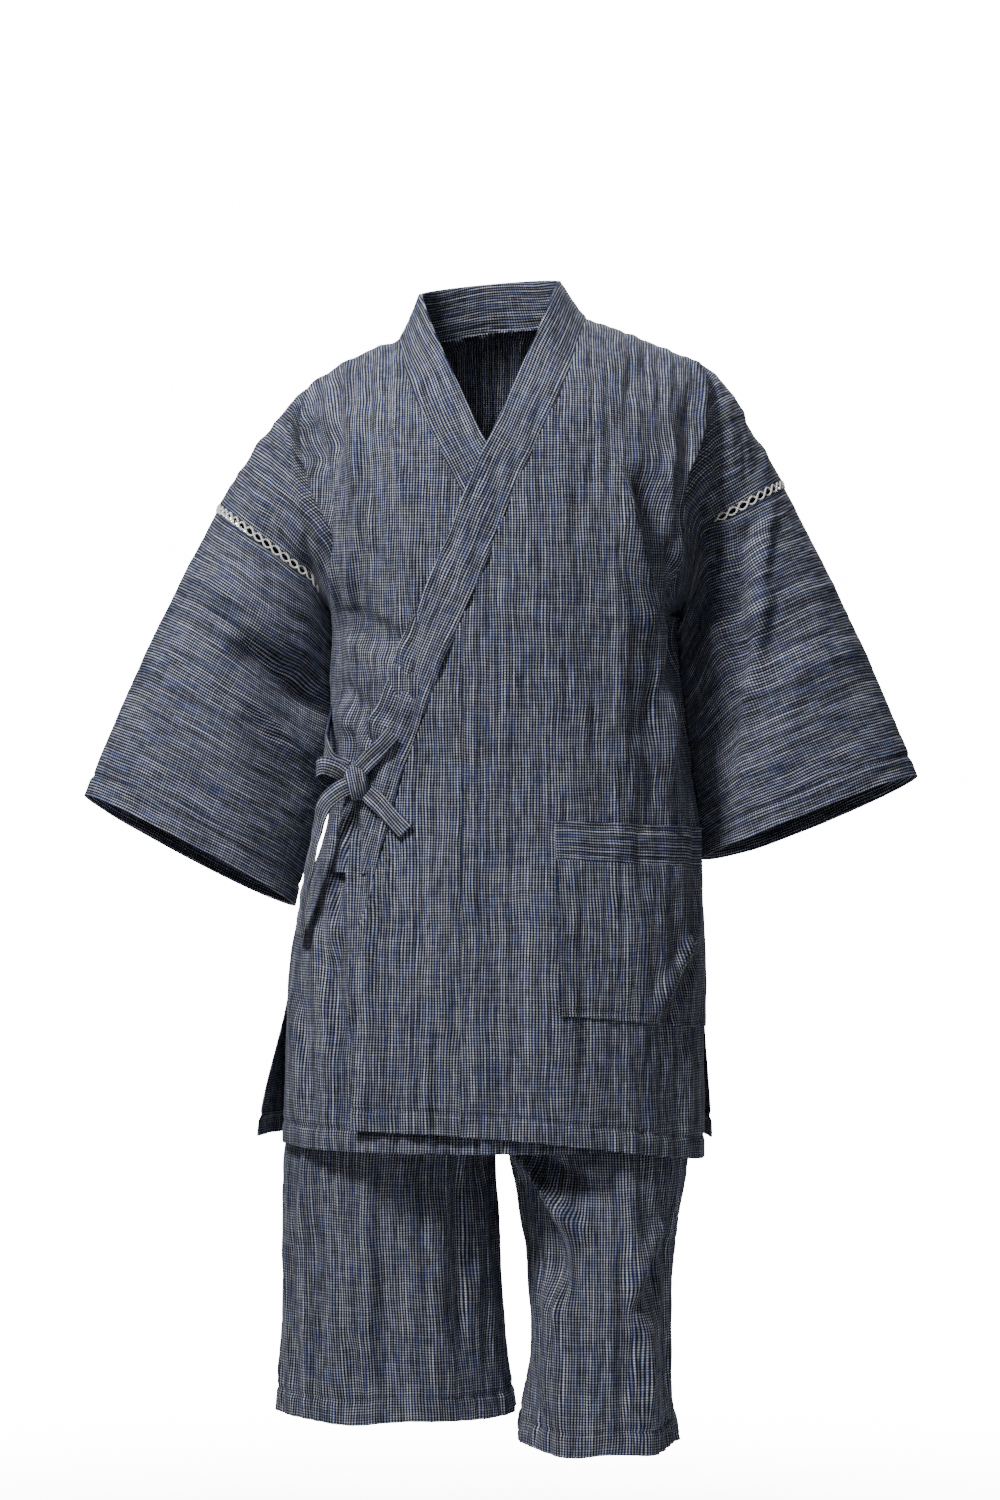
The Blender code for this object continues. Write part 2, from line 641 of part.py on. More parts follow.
def make_lacing(side, layer, material):
    """One zigzag thread of a sleeve's lacing: layer is 1 outside and -1 inside."""
    stations = around(side)
    panel = [body_point(side, face, 1.0 + w, 1.0) for face, w in stations]
    sleeve = [sleeve_point(side, face, w, 0.0) for face, w in stations]
    centre = sum(panel, Vector()) / len(panel)
    inset = (THREAD / 2 + SEAM + CLOTH / 2) / LACING_GAP
    points = []
    for k in range(2 * LACING_TURNS):
        share = (k + 0.5) / (2 * LACING_TURNS)
        reach = inset if (k + (layer > 0)) % 2 else 1.0 - inset
        point = along_ring(panel, share).lerp(along_ring(sleeve, share), reach)
        out = point - centre
        out -= sleeve_axis(side) * out.dot(sleeve_axis(side))
        inward = ARMPIT_SHIFT * (1.0 - ease(0.0, 0.12, min(share, 1.0 - share)))
        points.append(point + out.normalized() * (layer * (THREAD + SEAM) / 2 - inward))
    name = "lacing_" + ("left" if side == LEFT else "right") + ("_outer" if layer > 0 else "_inner")
    return tube(name, material, points, THREAD, True)


def make_slit_thread(side, material):
    """Short zigzag of thread over the side seam, just above the slit."""
    points = []
    for k in range(SLIT_STITCHES):
        z = SLIT_Z + 0.010 + k * SLIT_STITCH_PITCH
        seam = side_seam(side, z)
        stand = CLOTH / 2 + SEAM + SLIT_THREAD / 2 + 0.0004
        points.append(Vector((seam.x + side * stand, seam.y + (0.0025 if k % 2 else -0.0025), z)))
    return tube("slit_thread_" + ("left" if side == LEFT else "right"), material, points, SLIT_THREAD, False)


def pocket_row(level, thickness):
    places = columns(level)[POCKET_COLUMN["inner"]:POCKET_COLUMN["outer"] + 1]
    extra = (CLOTH + thickness) / 2 + SEAM
    row = []
    for u in places:
        point = dressed(LEFT, body_point(LEFT, FRONT, level, u))
        row.append(point + outward(LEFT, level, u) * extra)
    return row


def outward(side, level, u):
    """Direction out of the front's smooth surface, from its own rows and columns."""
    step = 0.01
    rise = body_point(side, FRONT, level + step, u) - body_point(side, FRONT, level - step, u)
    run = body_point(side, FRONT, level, u + step) - body_point(side, FRONT, level, u - step)
    return run.cross(rise).normalized() * side


def make_pocket(material):
    levels = [level for level in FRONT_ROWS if POCKET_FOOT <= level < POCKET_SPLIT]
    edge = SEAM / 2 / (ARMPIT_Z - OUTER_HEM_Z)
    bag = [pocket_row(level, CLOTH) for level in levels + [POCKET_SPLIT - edge]]
    band = [pocket_row(level, POCKET_BAND_CLOTH) for level in (POCKET_SPLIT + edge, POCKET_TOP)]
    sheet("pocket_bag", material, [row[::-1] for row in bag], CLOTH)
    sheet("pocket_band", material, [row[::-1] for row in band], POCKET_BAND_CLOTH)


def leg_point(side, z, c):
    """Point of a leg's closed section: c runs from the inseam over the front, the outside and the back."""
    table = LEGS[side]
    inner, outer, front, back = (smooth(table["z"], table[key], z) for key in ("inner", "outer", "front", "back"))
    angle = 2.0 * math.pi * c
    turn_x = math.copysign(abs(math.cos(angle)) ** (2 / LEG_ROUND), math.cos(angle))
    turn_y = math.copysign(abs(math.sin(angle)) ** (2 / LEG_ROUND), math.sin(angle))
    x = (inner + outer) / 2 + (inner - outer) / 2 * turn_x
    y = (front + back) / 2 + (front - back) / 2 * turn_y
    return Vector((x, y + (SEAM if c > 0.5 else -SEAM) * (1.0 - abs(turn_y)), z))


def hip_point(side, z, c):
    """Point of the half section above the legs, from the centre front round to the centre back."""
    half, front, back = (smooth(HIPS["z"], HIPS[key], z) for key in ("half", "front", "back"))
    angle = math.pi * c
    x = HIP_X + side * half * abs(math.sin(angle)) ** (2 / LEG_ROUND)
    turn = math.copysign(abs(math.cos(angle)) ** (2 / LEG_ROUND), math.cos(angle))
    return Vector((x, (front + back) / 2 + (front - back) / 2 * turn, z))


def shorts_point(side, v, c):
    """Point of a leg panel: v is -1 at the hem, 0 at the crotch and 1 at the waist."""
    if v <= 0.0:
        return leg_point(side, mix(LEGS[side]["z"][0], CROTCH_Z, 1.0 + v), c)
    z = mix(CROTCH_Z, HIPS["z"][-1], v)
    share = ease(0.0, 0.62, v)
    point = leg_point(side, CROTCH_Z, c).lerp(hip_point(side, z, c), share)
    point.z = z
    inside = HIP_X + side * mix(0.0009, 0.0005, ease(0.3, 1.0, share))
    point.x = max(point.x, inside) if side == LEFT else min(point.x, inside)
    return point


def make_leg(side, material):
    rows = [[shorts_point(side, v, k / LEG_COLUMNS) for k in range(LEG_COLUMNS + 1)] for v in LEG_ROWS]
    return sheet("leg_left" if side == LEFT else "leg_right", material, oriented(rows, side), CLOTH)


def make_waistband(material):
    rows = []
    for rise in (SEAM, WAISTBAND_HEIGHT):
        right = [hip_point(RIGHT, HIPS["z"][-1], k / LEG_COLUMNS) for k in range(LEG_COLUMNS)]
        left = [hip_point(LEFT, HIPS["z"][-1], 1.0 - k / LEG_COLUMNS) for k in range(LEG_COLUMNS)]
        rows.append([point + Vector((0.0, 0.0, rise)) for point in right + left])
    return sheet("waistband", material, rows, WAISTBAND_CLOTH, closed=True)


def strap(name, material, stations):
    """A flat tie along its stations, its face turned as each station says."""
    places = [Vector(place) for place in zip(stations["x"], stations["y"], stations["z"])]
    rows = []
    for k, facing in enumerate(stations["facing"]):
        run = places[min(k + 1, len(places) - 1)] - places[max(k - 1, 0)]
        look = Vector((-math.sin(math.radians(facing)), -math.cos(math.radians(facing)), 0.0))
        aside = run.cross(look).normalized() * TIE_WIDTH / 2
        rows.append([places[k] - aside, places[k] + aside])
    return sheet(name, material, rows, TIE_CLOTH)


def make_bow(material):
    for name, stations in BOW.items():
        strap(name, material, stations)
    bm = bmesh.new()
    bmesh.ops.create_icosphere(bm, subdivisions=2, radius=1.0)
    bmesh.ops.scale(bm, vec=KNOT_SIZE, verts=bm.verts)
    bmesh.ops.rotate(bm, cent=(0, 0, 0), verts=bm.verts, matrix=Matrix.Rotation(KNOT_TURN, 3, "Y"))
    bmesh.ops.translate(bm, vec=KNOT_PLACE, verts=bm.verts)
    mesh = bpy.data.meshes.new("bow_knot")
    bm.to_mesh(mesh)
    bm.free()
    mesh.shade_smooth()
    mesh.materials.append(material)
    bpy.context.collection.objects.link(bpy.data.objects.new("bow_knot", mesh))


def main():
    clear_scene()
    cloth = make_material("yarn_dyed_cotton")
    thread = make_material("cotton_thread")
    elastic = make_material("elastic_band")
    for side in (RIGHT, LEFT):
        make_body(side, cloth)
        make_gore(side, cloth)
        make_sleeve(side, cloth)
        make_lacing(side, 1, thread)
        make_lacing(side, -1, thread)
        make_slit_thread(side, thread)
        make_leg(side, cloth)
    make_collar(cloth)
    make_pocket(cloth)
    make_waistband(elastic)
    make_bow(cloth)


main()
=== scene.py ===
"""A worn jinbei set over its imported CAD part: laced jacket with pocket and bow, and shorts.

Metres, +Z up, +X to the wearer's left, the front faces -Y. Each cloth piece lies on the same worked-out
surface as its CAD solid, on a finer grid that carries the folds, the hems and the grain of the cloth.
"""
import logging
import math
from dataclasses import dataclass, field
from enum import Enum, IntEnum

import bmesh
import bpy
import numpy as np
from mathutils import Matrix, Vector


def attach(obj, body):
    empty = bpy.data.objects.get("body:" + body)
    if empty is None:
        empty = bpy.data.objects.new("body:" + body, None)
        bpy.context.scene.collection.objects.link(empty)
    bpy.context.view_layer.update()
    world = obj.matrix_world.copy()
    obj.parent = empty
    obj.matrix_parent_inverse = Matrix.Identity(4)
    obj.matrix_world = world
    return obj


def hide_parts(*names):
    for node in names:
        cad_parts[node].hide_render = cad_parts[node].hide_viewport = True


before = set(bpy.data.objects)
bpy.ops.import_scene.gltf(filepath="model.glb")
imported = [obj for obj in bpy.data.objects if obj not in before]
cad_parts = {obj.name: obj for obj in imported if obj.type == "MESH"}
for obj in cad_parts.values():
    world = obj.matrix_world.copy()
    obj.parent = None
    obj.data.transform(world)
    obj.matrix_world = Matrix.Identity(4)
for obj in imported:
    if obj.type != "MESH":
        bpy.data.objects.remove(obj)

Array = np.ndarray
LOG = logging.getLogger("jinbei")
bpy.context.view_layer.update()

CLOTH = 0.0012
HEM_CLOTH = 0.0022
BAND_CLOTH = 0.0030
TIE_CLOTH = 0.0016
POCKET_BAND_CLOTH = 0.0018
SEAM = -0.0002
GRAIN = "grain"
HEM_GROUP = "hem"
HEM_STEPS = 5


class Side(IntEnum):
    """The wearer's side; its value is the sign of X."""

    RIGHT = -1
    LEFT = 1

    def named(self, stem: str) -> str:
        """Name of a piece on this side."""
        return f"{stem}_{self.name.lower()}"


class Face(IntEnum):
    """Front or back of the set; its value is the sign of Y."""

    FRONT = -1
    BACK = 1


class Hold(Enum):
    HUNG = "hung"
    FOLDED = "folded"
    GATHERED = "gathered"


def mix(start: Array, end: Array, share: Array) -> Array:
    """Value at a share of the way from start to end."""
    return start + (end - start) * share


def ease(low: float, high: float, value: Array) -> Array:
    """Smooth step from 0 at low to 1 at high."""
    share = np.clip((value - low) / (high - low), 0.0, 1.0)
    return share * share * (3.0 - 2.0 * share)


def stack(x: Array, y: Array, z: Array) -> Array:
    """Points from their coordinates."""
    return np.stack(np.broadcast_arrays(x, y, z), axis=-1).astype(float)


def spaced(*stretches: tuple[float, float, int]) -> Array:
    """Places along stretches of (start, end, steps), each of which begins where the last one ends."""
    return np.concatenate([np.linspace(start, end, steps + 1)[min(k, 1):]
                           for k, (start, end, steps) in enumerate(stretches)])


def unit(vectors: Array) -> Array:
    """Vectors of length one."""
    length = np.linalg.norm(vectors, axis=-1, keepdims=True)
    return vectors / np.maximum(length, 1e-12)


@dataclass(frozen=True)
class Curve:
    """A cubic curve through (knots, values), its slopes taken from the neighbouring knots."""

    knots: tuple[float, ...]
    values: tuple[float, ...]

    def __call__(self, at: Array) -> Array:
        """Read the curve.

        Args:
            at: Places along the knots; past the ends the end value holds.

        Returns:
            The curve's values there.
        """
        knots = np.array(self.knots, float)
        values = np.array(self.values, float)
        slopes = np.gradient(values, knots)
        at = np.asarray(at, float)
        k = np.clip(np.searchsorted(knots, at) - 1, 0, len(knots) - 2)
        span = knots[k + 1] - knots[k]
        t = np.clip((at - knots[k]) / span, 0.0, 1.0)
        rise = (2 * t ** 3 - 3 * t ** 2 + 1) * values[k] + (3 * t ** 2 - 2 * t ** 3) * values[k + 1]
        turn = (t ** 3 - 2 * t ** 2 + t) * slopes[k] + (t ** 3 - t ** 2) * slopes[k + 1]
        return rise + span * turn


# Heights of the jacket's parts
ARMPIT_Z = -0.270
SLIT_Z = -0.610
BACK_HEM_Z = -0.758
INNER_HEM_Z = -0.759
OUTER_HEM_Z = -0.740
OUTER_HEM_DROP = 0.033
COLLAR_END_Z = -0.510
TORSO_Z = (-0.780, -0.610, -0.530, -0.470, -0.400, -0.340, -0.270, -0.200, -0.100, 0.060)


@dataclass(frozen=True)
class Torso:
    """Sections of the closed jacket at each height, and its shoulder line."""

    right: Curve = Curve(
        TORSO_Z, (-0.194, -0.190, -0.177, -0.157, -0.151, -0.150, -0.152, -0.190, -0.205, -0.210))
    left: Curve = Curve(TORSO_Z, (0.197, 0.197, 0.197, 0.194, 0.186, 0.179, 0.178, 0.220, 0.235, 0.240))
    front: Curve = Curve(
        TORSO_Z, (-0.142, -0.132, -0.125, -0.121, -0.122, -0.126, -0.130, -0.129, -0.122, -0.110))
    side: Curve = Curve(TORSO_Z, (-0.010, 0.000, 0.005, 0.010, 0.015, 0.022, 0.035, 0.038, 0.040, 0.040))
    back: Curve = Curve(TORSO_Z, (0.130, 0.120, 0.112, 0.108, 0.112, 0.118, 0.125, 0.127, 0.122, 0.110))
    shoulder: Curve = Curve(
        (-0.260, -0.245, -0.221, -0.190, -0.162, -0.125, -0.087, 0.000,
         0.087, 0.139, 0.173, 0.206, 0.221, 0.240, 0.262, 0.2743),
        (-0.162, -0.139, -0.105, -0.066, -0.044, -0.022, -0.009, 0.022,
         0.010, -0.007, -0.0204, -0.0355, -0.0506, -0.0838, -0.119, -0.1396))
    fullness: float = 2.4
    neck_x: float = 0.087
    neck_y: float = 0.010
    backset: float = 0.030
    front_rounding: float = 0.150
    back_rounding: float = 0.130

    def shoulder_y(self, x: Array) -> Array:
        """Depth of the shoulder line."""
        return self.neck_y + self.backset * ease(self.neck_x, 0.26, np.abs(x))

    def reach(self, face: Face, z: Array) -> Array:
        """Depth of the section's middle at a height."""
        return (self.front if face == Face.FRONT else self.back)(z)

    def middle(self, z: Array) -> Array:
        """X of the section's middle."""
        return (self.right(z) + self.left(z)) / 2

    def half(self, z: Array) -> Array:
        """Half of the section's width."""
        return (self.left(z) - self.right(z)) / 2

    def across(self, x: Array, z: Array) -> Array:
        """Share of the way from the section's middle to its side, from -1 to 1."""
        return (x - self.middle(z)) / self.half(z)

    def full(self, x: Array, z: Array, face: Face) -> Array:
        """Depth of the section without the shoulder's rounding."""
        share = np.minimum(np.abs(self.across(x, z)), 1.0)
        bulge = (1.0 - share ** self.fullness) ** (1.0 / self.fullness)
        return self.side(z) + (self.reach(face, z) - self.side(z)) * bulge

    def crown(self, x: Array, z: Array, face: Face) -> Array:
        """Share of the full depth that is left as the surface rounds over to the shoulder."""
        rounding = self.front_rounding if face == Face.FRONT else self.back_rounding
        drop = np.clip((self.shoulder(x) - z) / rounding, 0.0, 1.0)
        return np.sqrt(1.0 - (1.0 - drop) ** 2)

    def depth(self, x: Array, z: Array, face: Face) -> Array:
        """Depth of the jacket's surface at a point of the front or back view."""
        rest = self.shoulder_y(x)
        return rest + (self.full(x, z, face) - rest) * self.crown(x, z, face)


@dataclass(frozen=True)
class Fold:
    """A soft ridge or trough laid in a flat view.

    Attributes:
        start: Its upper end.
        end: Its lower end.
        height: How far it stands out; a trough's is negative.
        width: Half of its width where it has fallen to a third.
        bow: How far its middle swings aside.
        lean: From -1 to 1, how much wider its one flank is than the other.
    """

    start: tuple[float, float]
    end: tuple[float, float]
    height: float
    width: float
    bow: float = 0.0
    lean: float = 0.25

    def lift(self, a: Array, b: Array) -> Array:
        """Height of the fold at points (a, b) of its view."""
        run = np.array(self.end) - np.array(self.start)
        length = np.linalg.norm(run)
        da = a - self.start[0]
        db = b - self.start[1]
        t = (da * run[0] + db * run[1]) / length ** 2
        held = np.clip(t, 0.0, 1.0)
        aside = (da * run[1] - db * run[0]) / length - self.bow * 4.0 * held * (1.0 - held)
        past = (t - held) * length
        flank = self.width * (1.0 + self.lean * np.tanh(aside / self.width)) * (0.8 + 0.4 * held)
        taper = ease(-0.05, 0.22, t) * (1.0 - ease(0.72, 1.08, t))
        return self.height * taper * np.exp(-(aside / flank) ** 2 - (past / self.width) ** 2)


@dataclass(frozen=True)
class Ripple:
    """Uneven undulation drawn out along the grain.

    Attributes:
        across: Usual distance between two crests.
        along: Usual length of a crest.
        height: Usual height of a crest.
        seed: Seed of its places.
    """

    across: float
    along: float
    height: float
    seed: int

    def lift(self, a: Array, b: Array) -> Array:
        """Height of the undulation at points (a, b), a across the grain and b along it."""
        chance = np.random.default_rng(self.seed)
        total = np.zeros(np.broadcast(a, b).shape)
        for _ in range(16):
            turn = 2.0 * math.pi / (self.across * chance.uniform(0.65, 1.7))
            climb = 2.0 * math.pi / self.along * chance.normal(0.0, 0.8)
            total += np.sin(turn * a + climb * b + chance.uniform(0.0, 2.0 * math.pi))
        return self.height * total / math.sqrt(8.0)


@dataclass(frozen=True)
class Drape:
    """All the folds and undulations of one view of the cloth."""

    folds: tuple[Fold, ...]
    ripples: tuple[Ripple, ...]
    depth: float = 1.8

    def lift(self, a: Array, b: Array) -> Array:
        """Height of the drape at points (a, b) of its view."""
        total = sum(ripple.lift(a, b) for ripple in self.ripples)
        for fold in self.folds:
            total = total + fold.lift(a, b) * self.depth
        return total


# Folds of the fronts, read from the front view as (x, z)
FRONT_DRAPE = Drape(
    folds=(
        Fold((0.108, -0.121), (0.166, -0.418), 0.0058, 0.009, -0.005, 0.5),
        Fold((0.132, -0.141), (0.183, -0.425), -0.0070, 0.012, -0.014),
        Fold((0.182, -0.058), (0.187, -0.225), -0.0025, 0.008, 0.003, 0.4),
        Fold((0.096, -0.110), (0.092, -0.330), -0.0018, 0.012, -0.003),
        Fold((0.168, -0.100), (0.160, -0.300), 0.0040, 0.009, 0.004),
        Fold((0.149, -0.110), (0.140, -0.300), 0.0035, 0.012, -0.006),
        Fold((0.178, -0.285), (0.128, -0.400), -0.0035, 0.010, 0.006),
        Fold((0.182, -0.310), (0.150, -0.430), 0.0035, 0.011, 0.004),
        Fold((0.152, -0.330), (0.138, -0.520), -0.0028, 0.010, 0.002),
        Fold((0.170, -0.380), (0.168, -0.560), 0.0022, 0.012, 0.003),
        Fold((-0.167, -0.084), (-0.151, -0.250), -0.0055, 0.0060, -0.003, 0.3),
        Fold((-0.141, -0.036), (-0.142, -0.130), -0.0040, 0.0065, 0.002, 0.3),
        Fold((-0.152, -0.085), (-0.134, -0.230), -0.0050, 0.012, -0.003),
        Fold((-0.160, -0.074), (-0.150, -0.130), 0.0030, 0.006, -0.002),
        Fold((-0.128, -0.085), (-0.128, -0.270), 0.0030, 0.012, 0.003),
        Fold((-0.105, -0.110), (-0.110, -0.250), -0.0022, 0.012, 0.002),
        Fold((-0.086, -0.070), (-0.060, -0.300), 0.0018, 0.012, 0.004),
        Fold((-0.140, -0.265), (-0.075, -0.315), -0.0030, 0.012, -0.006),
        Fold((-0.142, -0.290), (-0.062, -0.350), 0.0032, 0.012, -0.005),
        Fold((-0.143, -0.325), (-0.082, -0.392), -0.0034, 0.010, 0.004),
        Fold((-0.142, -0.350), (-0.095, -0.405), 0.0030, 0.010, 0.006),
        Fold((-0.130, -0.372), (-0.118, -0.418), -0.0030, 0.007, 0.002),
        Fold((-0.108, -0.368), (-0.116, -0.415), 0.0022, 0.007, 0.001),
        Fold((-0.142, -0.445), (-0.150, -0.560), 0.0030, 0.008, 0.004),
        Fold((-0.131, -0.440), (-0.136, -0.560), -0.0038, 0.007, 0.004),
        Fold((-0.122, -0.450), (-0.150, -0.590), 0.0036, 0.008, -0.004),
        Fold((-0.160, -0.540), (-0.150, -0.660), 0.0030, 0.009, 0.004),
        Fold((-0.148, -0.570), (-0.128, -0.680), -0.0030, 0.009, 0.005),
        Fold((-0.168, -0.600), (-0.160, -0.745), -0.0024, 0.009, -0.003),
        Fold((-0.176, -0.620), (-0.176, -0.750), 0.0024, 0.008, 0.002),
        Fold((-0.152, -0.650), (-0.143, -0.755), 0.0022, 0.010, 0.003),
        Fold((-0.100, -0.560), (-0.108, -0.730), 0.0016, 0.014, 0.003),
        Fold((-0.060, -0.540), (-0.066, -0.700), -0.0018, 0.016, 0.002),
        Fold((-0.020, -0.380), (-0.028, -0.640), 0.0014, 0.018, -0.003),
        Fold((0.020, -0.470), (0.012, -0.720), -0.0014, 0.017, 0.003),
        Fold((0.055, -0.500), (0.070, -0.740), 0.0016, 0.018, 0.003),
        Fold((0.184, -0.560), (0.143, -0.650), 0.0042, 0.0045, 0.003, 0.4),
        Fold((0.190, -0.575), (0.152, -0.660), -0.0030, 0.007, 0.003),
        Fold((0.135, -0.520), (0.150, -0.600), 0.0016, 0.008, 0.003),
        Fold((0.176, -0.660), (0.180, -0.770), 0.0022, 0.010, -0.003),
        Fold((0.158, -0.640), (0.166, -0.750), -0.0018, 0.010, 0.003),
        Fold((0.030, -0.060), (0.020, -0.260), 0.0012, 0.014, 0.003),
        Fold((0.150, -0.030), (0.120, -0.075), -0.0016, 0.010, 0.002),
        Fold((-0.120, -0.040), (-0.105, -0.080), -0.0016, 0.010, 0.002),
    ),
    ripples=(
        Ripple(0.055, 0.40, 0.0007, 11),
        Ripple(0.022, 0.14, 0.0008, 12),
        Ripple(0.0100, 0.08, 0.00042, 13),
    ),
)
# Folds of the back, seen from the front through the garment as (x, z)
BACK_DRAPE = Drape(
    folds=(
        Fold((-0.150, -0.100), (-0.120, -0.330), 0.0045, 0.014, 0.006, 0.4),
        Fold((-0.128, -0.130), (-0.098, -0.300), -0.0040, 0.012, 0.006),
        Fold((0.172, -0.090), (0.136, -0.330), 0.0050, 0.014, -0.008, 0.4),
        Fold((0.146, -0.120), (0.112, -0.300), -0.0040, 0.012, -0.006),
        Fold((-0.080, -0.060), (-0.060, -0.220), -0.0016, 0.016, 0.003),
        Fold((0.085, -0.050), (0.066, -0.230), 0.0018, 0.016, 0.003),
        Fold((-0.135, -0.330), (-0.040, -0.430), -0.0026, 0.014, -0.010),
        Fold((-0.138, -0.370), (-0.030, -0.470), 0.0030, 0.013, -0.010),
        Fold((0.170, -0.360), (0.070, -0.460), 0.0030, 0.014, 0.010),
        Fold((0.176, -0.400), (0.080, -0.490), -0.0026, 0.013, 0.010),
        Fold((-0.060, -0.460), (-0.078, -0.740), 0.0026, 0.020, 0.006),
        Fold((0.046, -0.450), (0.064, -0.740), -0.0026, 0.020, 0.006),
        Fold((0.104, -0.500), (0.122, -0.745), 0.0030, 0.018, 0.004),
        Fold((-0.120, -0.520), (-0.138, -0.745), -0.0028, 0.017, 0.004),
        Fold((-0.158, -0.560), (-0.172, -0.745), 0.0026, 0.012, 0.003),
        Fold((0.160, -0.560), (0.172, -0.745), -0.0022, 0.012, 0.003),
    ),
    ripples=(
        Ripple(0.060, 0.40, 0.0008, 21),
        Ripple(0.022, 0.14, 0.0008, 22),
        Ripple(0.0100, 0.08, 0.00042, 23),
    ),
)
# Folds of the shorts, read from the front view as (x, z)
SHORTS_DRAPE = Drape(
    folds=(
        Fold((0.012, -0.748), (0.092, -0.838), 0.0085, 0.009, 0.006, 0.5),
        Fold((0.020, -0.764), (0.056, -0.900), -0.0090, 0.013, -0.010),
        Fold((0.030, -0.750), (0.110, -0.800), -0.0050, 0.010, 0.004),
        Fold((0.052, -0.795), (0.075, -0.900), -0.0034, 0.010, 0.005),
        Fold((0.040, -0.800), (0.060, -0.920), 0.0030, 0.010, -0.005),
        Fold((0.030, -0.850), (0.046, -0.990), 0.0028, 0.009, -0.004),
        Fold((0.044, -0.900), (0.040, -1.020), -0.0026, 0.009, 0.003),
        Fold((0.062, -0.880), (0.066, -1.020), 0.0024, 0.011, 0.003),
        Fold((0.160, -0.820), (0.118, -0.905), 0.0034, 0.007, 0.003, 0.4),
        Fold((0.164, -0.840), (0.130, -0.920), -0.0030, 0.008, 0.003),
        Fold((0.100, -0.790), (0.112, -0.900), -0.0020, 0.013, 0.004),
        Fold((0.150, -0.900), (0.140, -1.010), 0.0024, 0.010, 0.004),
        Fold((0.128, -0.920), (0.120, -1.030), -0.0018, 0.010, 0.003),
        Fold((0.090, -0.940), (0.096, -1.030), 0.0018, 0.011, 0.003),
        Fold((-0.030, -0.770), (-0.026, -0.960), -0.0040, 0.010, 0.004, 0.4),
        Fold((-0.048, -0.800), (-0.040, -0.990), 0.0030, 0.011, 0.004),
        Fold((-0.010, -0.780), (-0.004, -0.940), 0.0026, 0.010, 0.003),
        Fold((-0.120, -0.790), (-0.134, -0.960), 0.0018, 0.016, 0.005),
        Fold((-0.080, -0.850), (-0.090, -1.000), -0.0018, 0.015, 0.003),
        Fold((-0.165, -0.820), (-0.170, -0.990), -0.0020, 0.012, 0.003),
        Fold((-0.126, -0.930), (-0.120, -1.010), -0.0030, 0.009, 0.002),
    ),
    ripples=(
        Ripple(0.050, 0.30, 0.0009, 31),
        Ripple(0.020, 0.12, 0.0009, 32),
        Ripple(0.0100, 0.08, 0.00045, 33),
    ),
)
# Waves along the loose hems of the jacket
HEM_FLUTTER = {Side.RIGHT: Ripple(0.070, 2.0, 0.0016, 40), Side.LEFT: Ripple(0.070, 2.0, 0.0016, 42)}
# Large folds that the CAD solids hold too: (top x, top z, foot x, foot z, width, height)
SOLID_FOLDS = (
    (0.118, -0.140, 0.116, -0.400, 0.016, 0.0050),
    (0.160, -0.120, 0.150, -0.300, 0.014, -0.0045),
    (-0.118, -0.300, -0.070, -0.290, 0.014, -0.0035),
    (-0.105, -0.330, -0.060, -0.360, 0.013, 0.0035),
    (0.060, -0.520, 0.052, -0.700, 0.022, 0.0035),
    (-0.150, -0.600, -0.165, -0.740, 0.014, 0.0040),
    (-0.150, -0.520, -0.150, -0.640, 0.015, -0.0040),
)


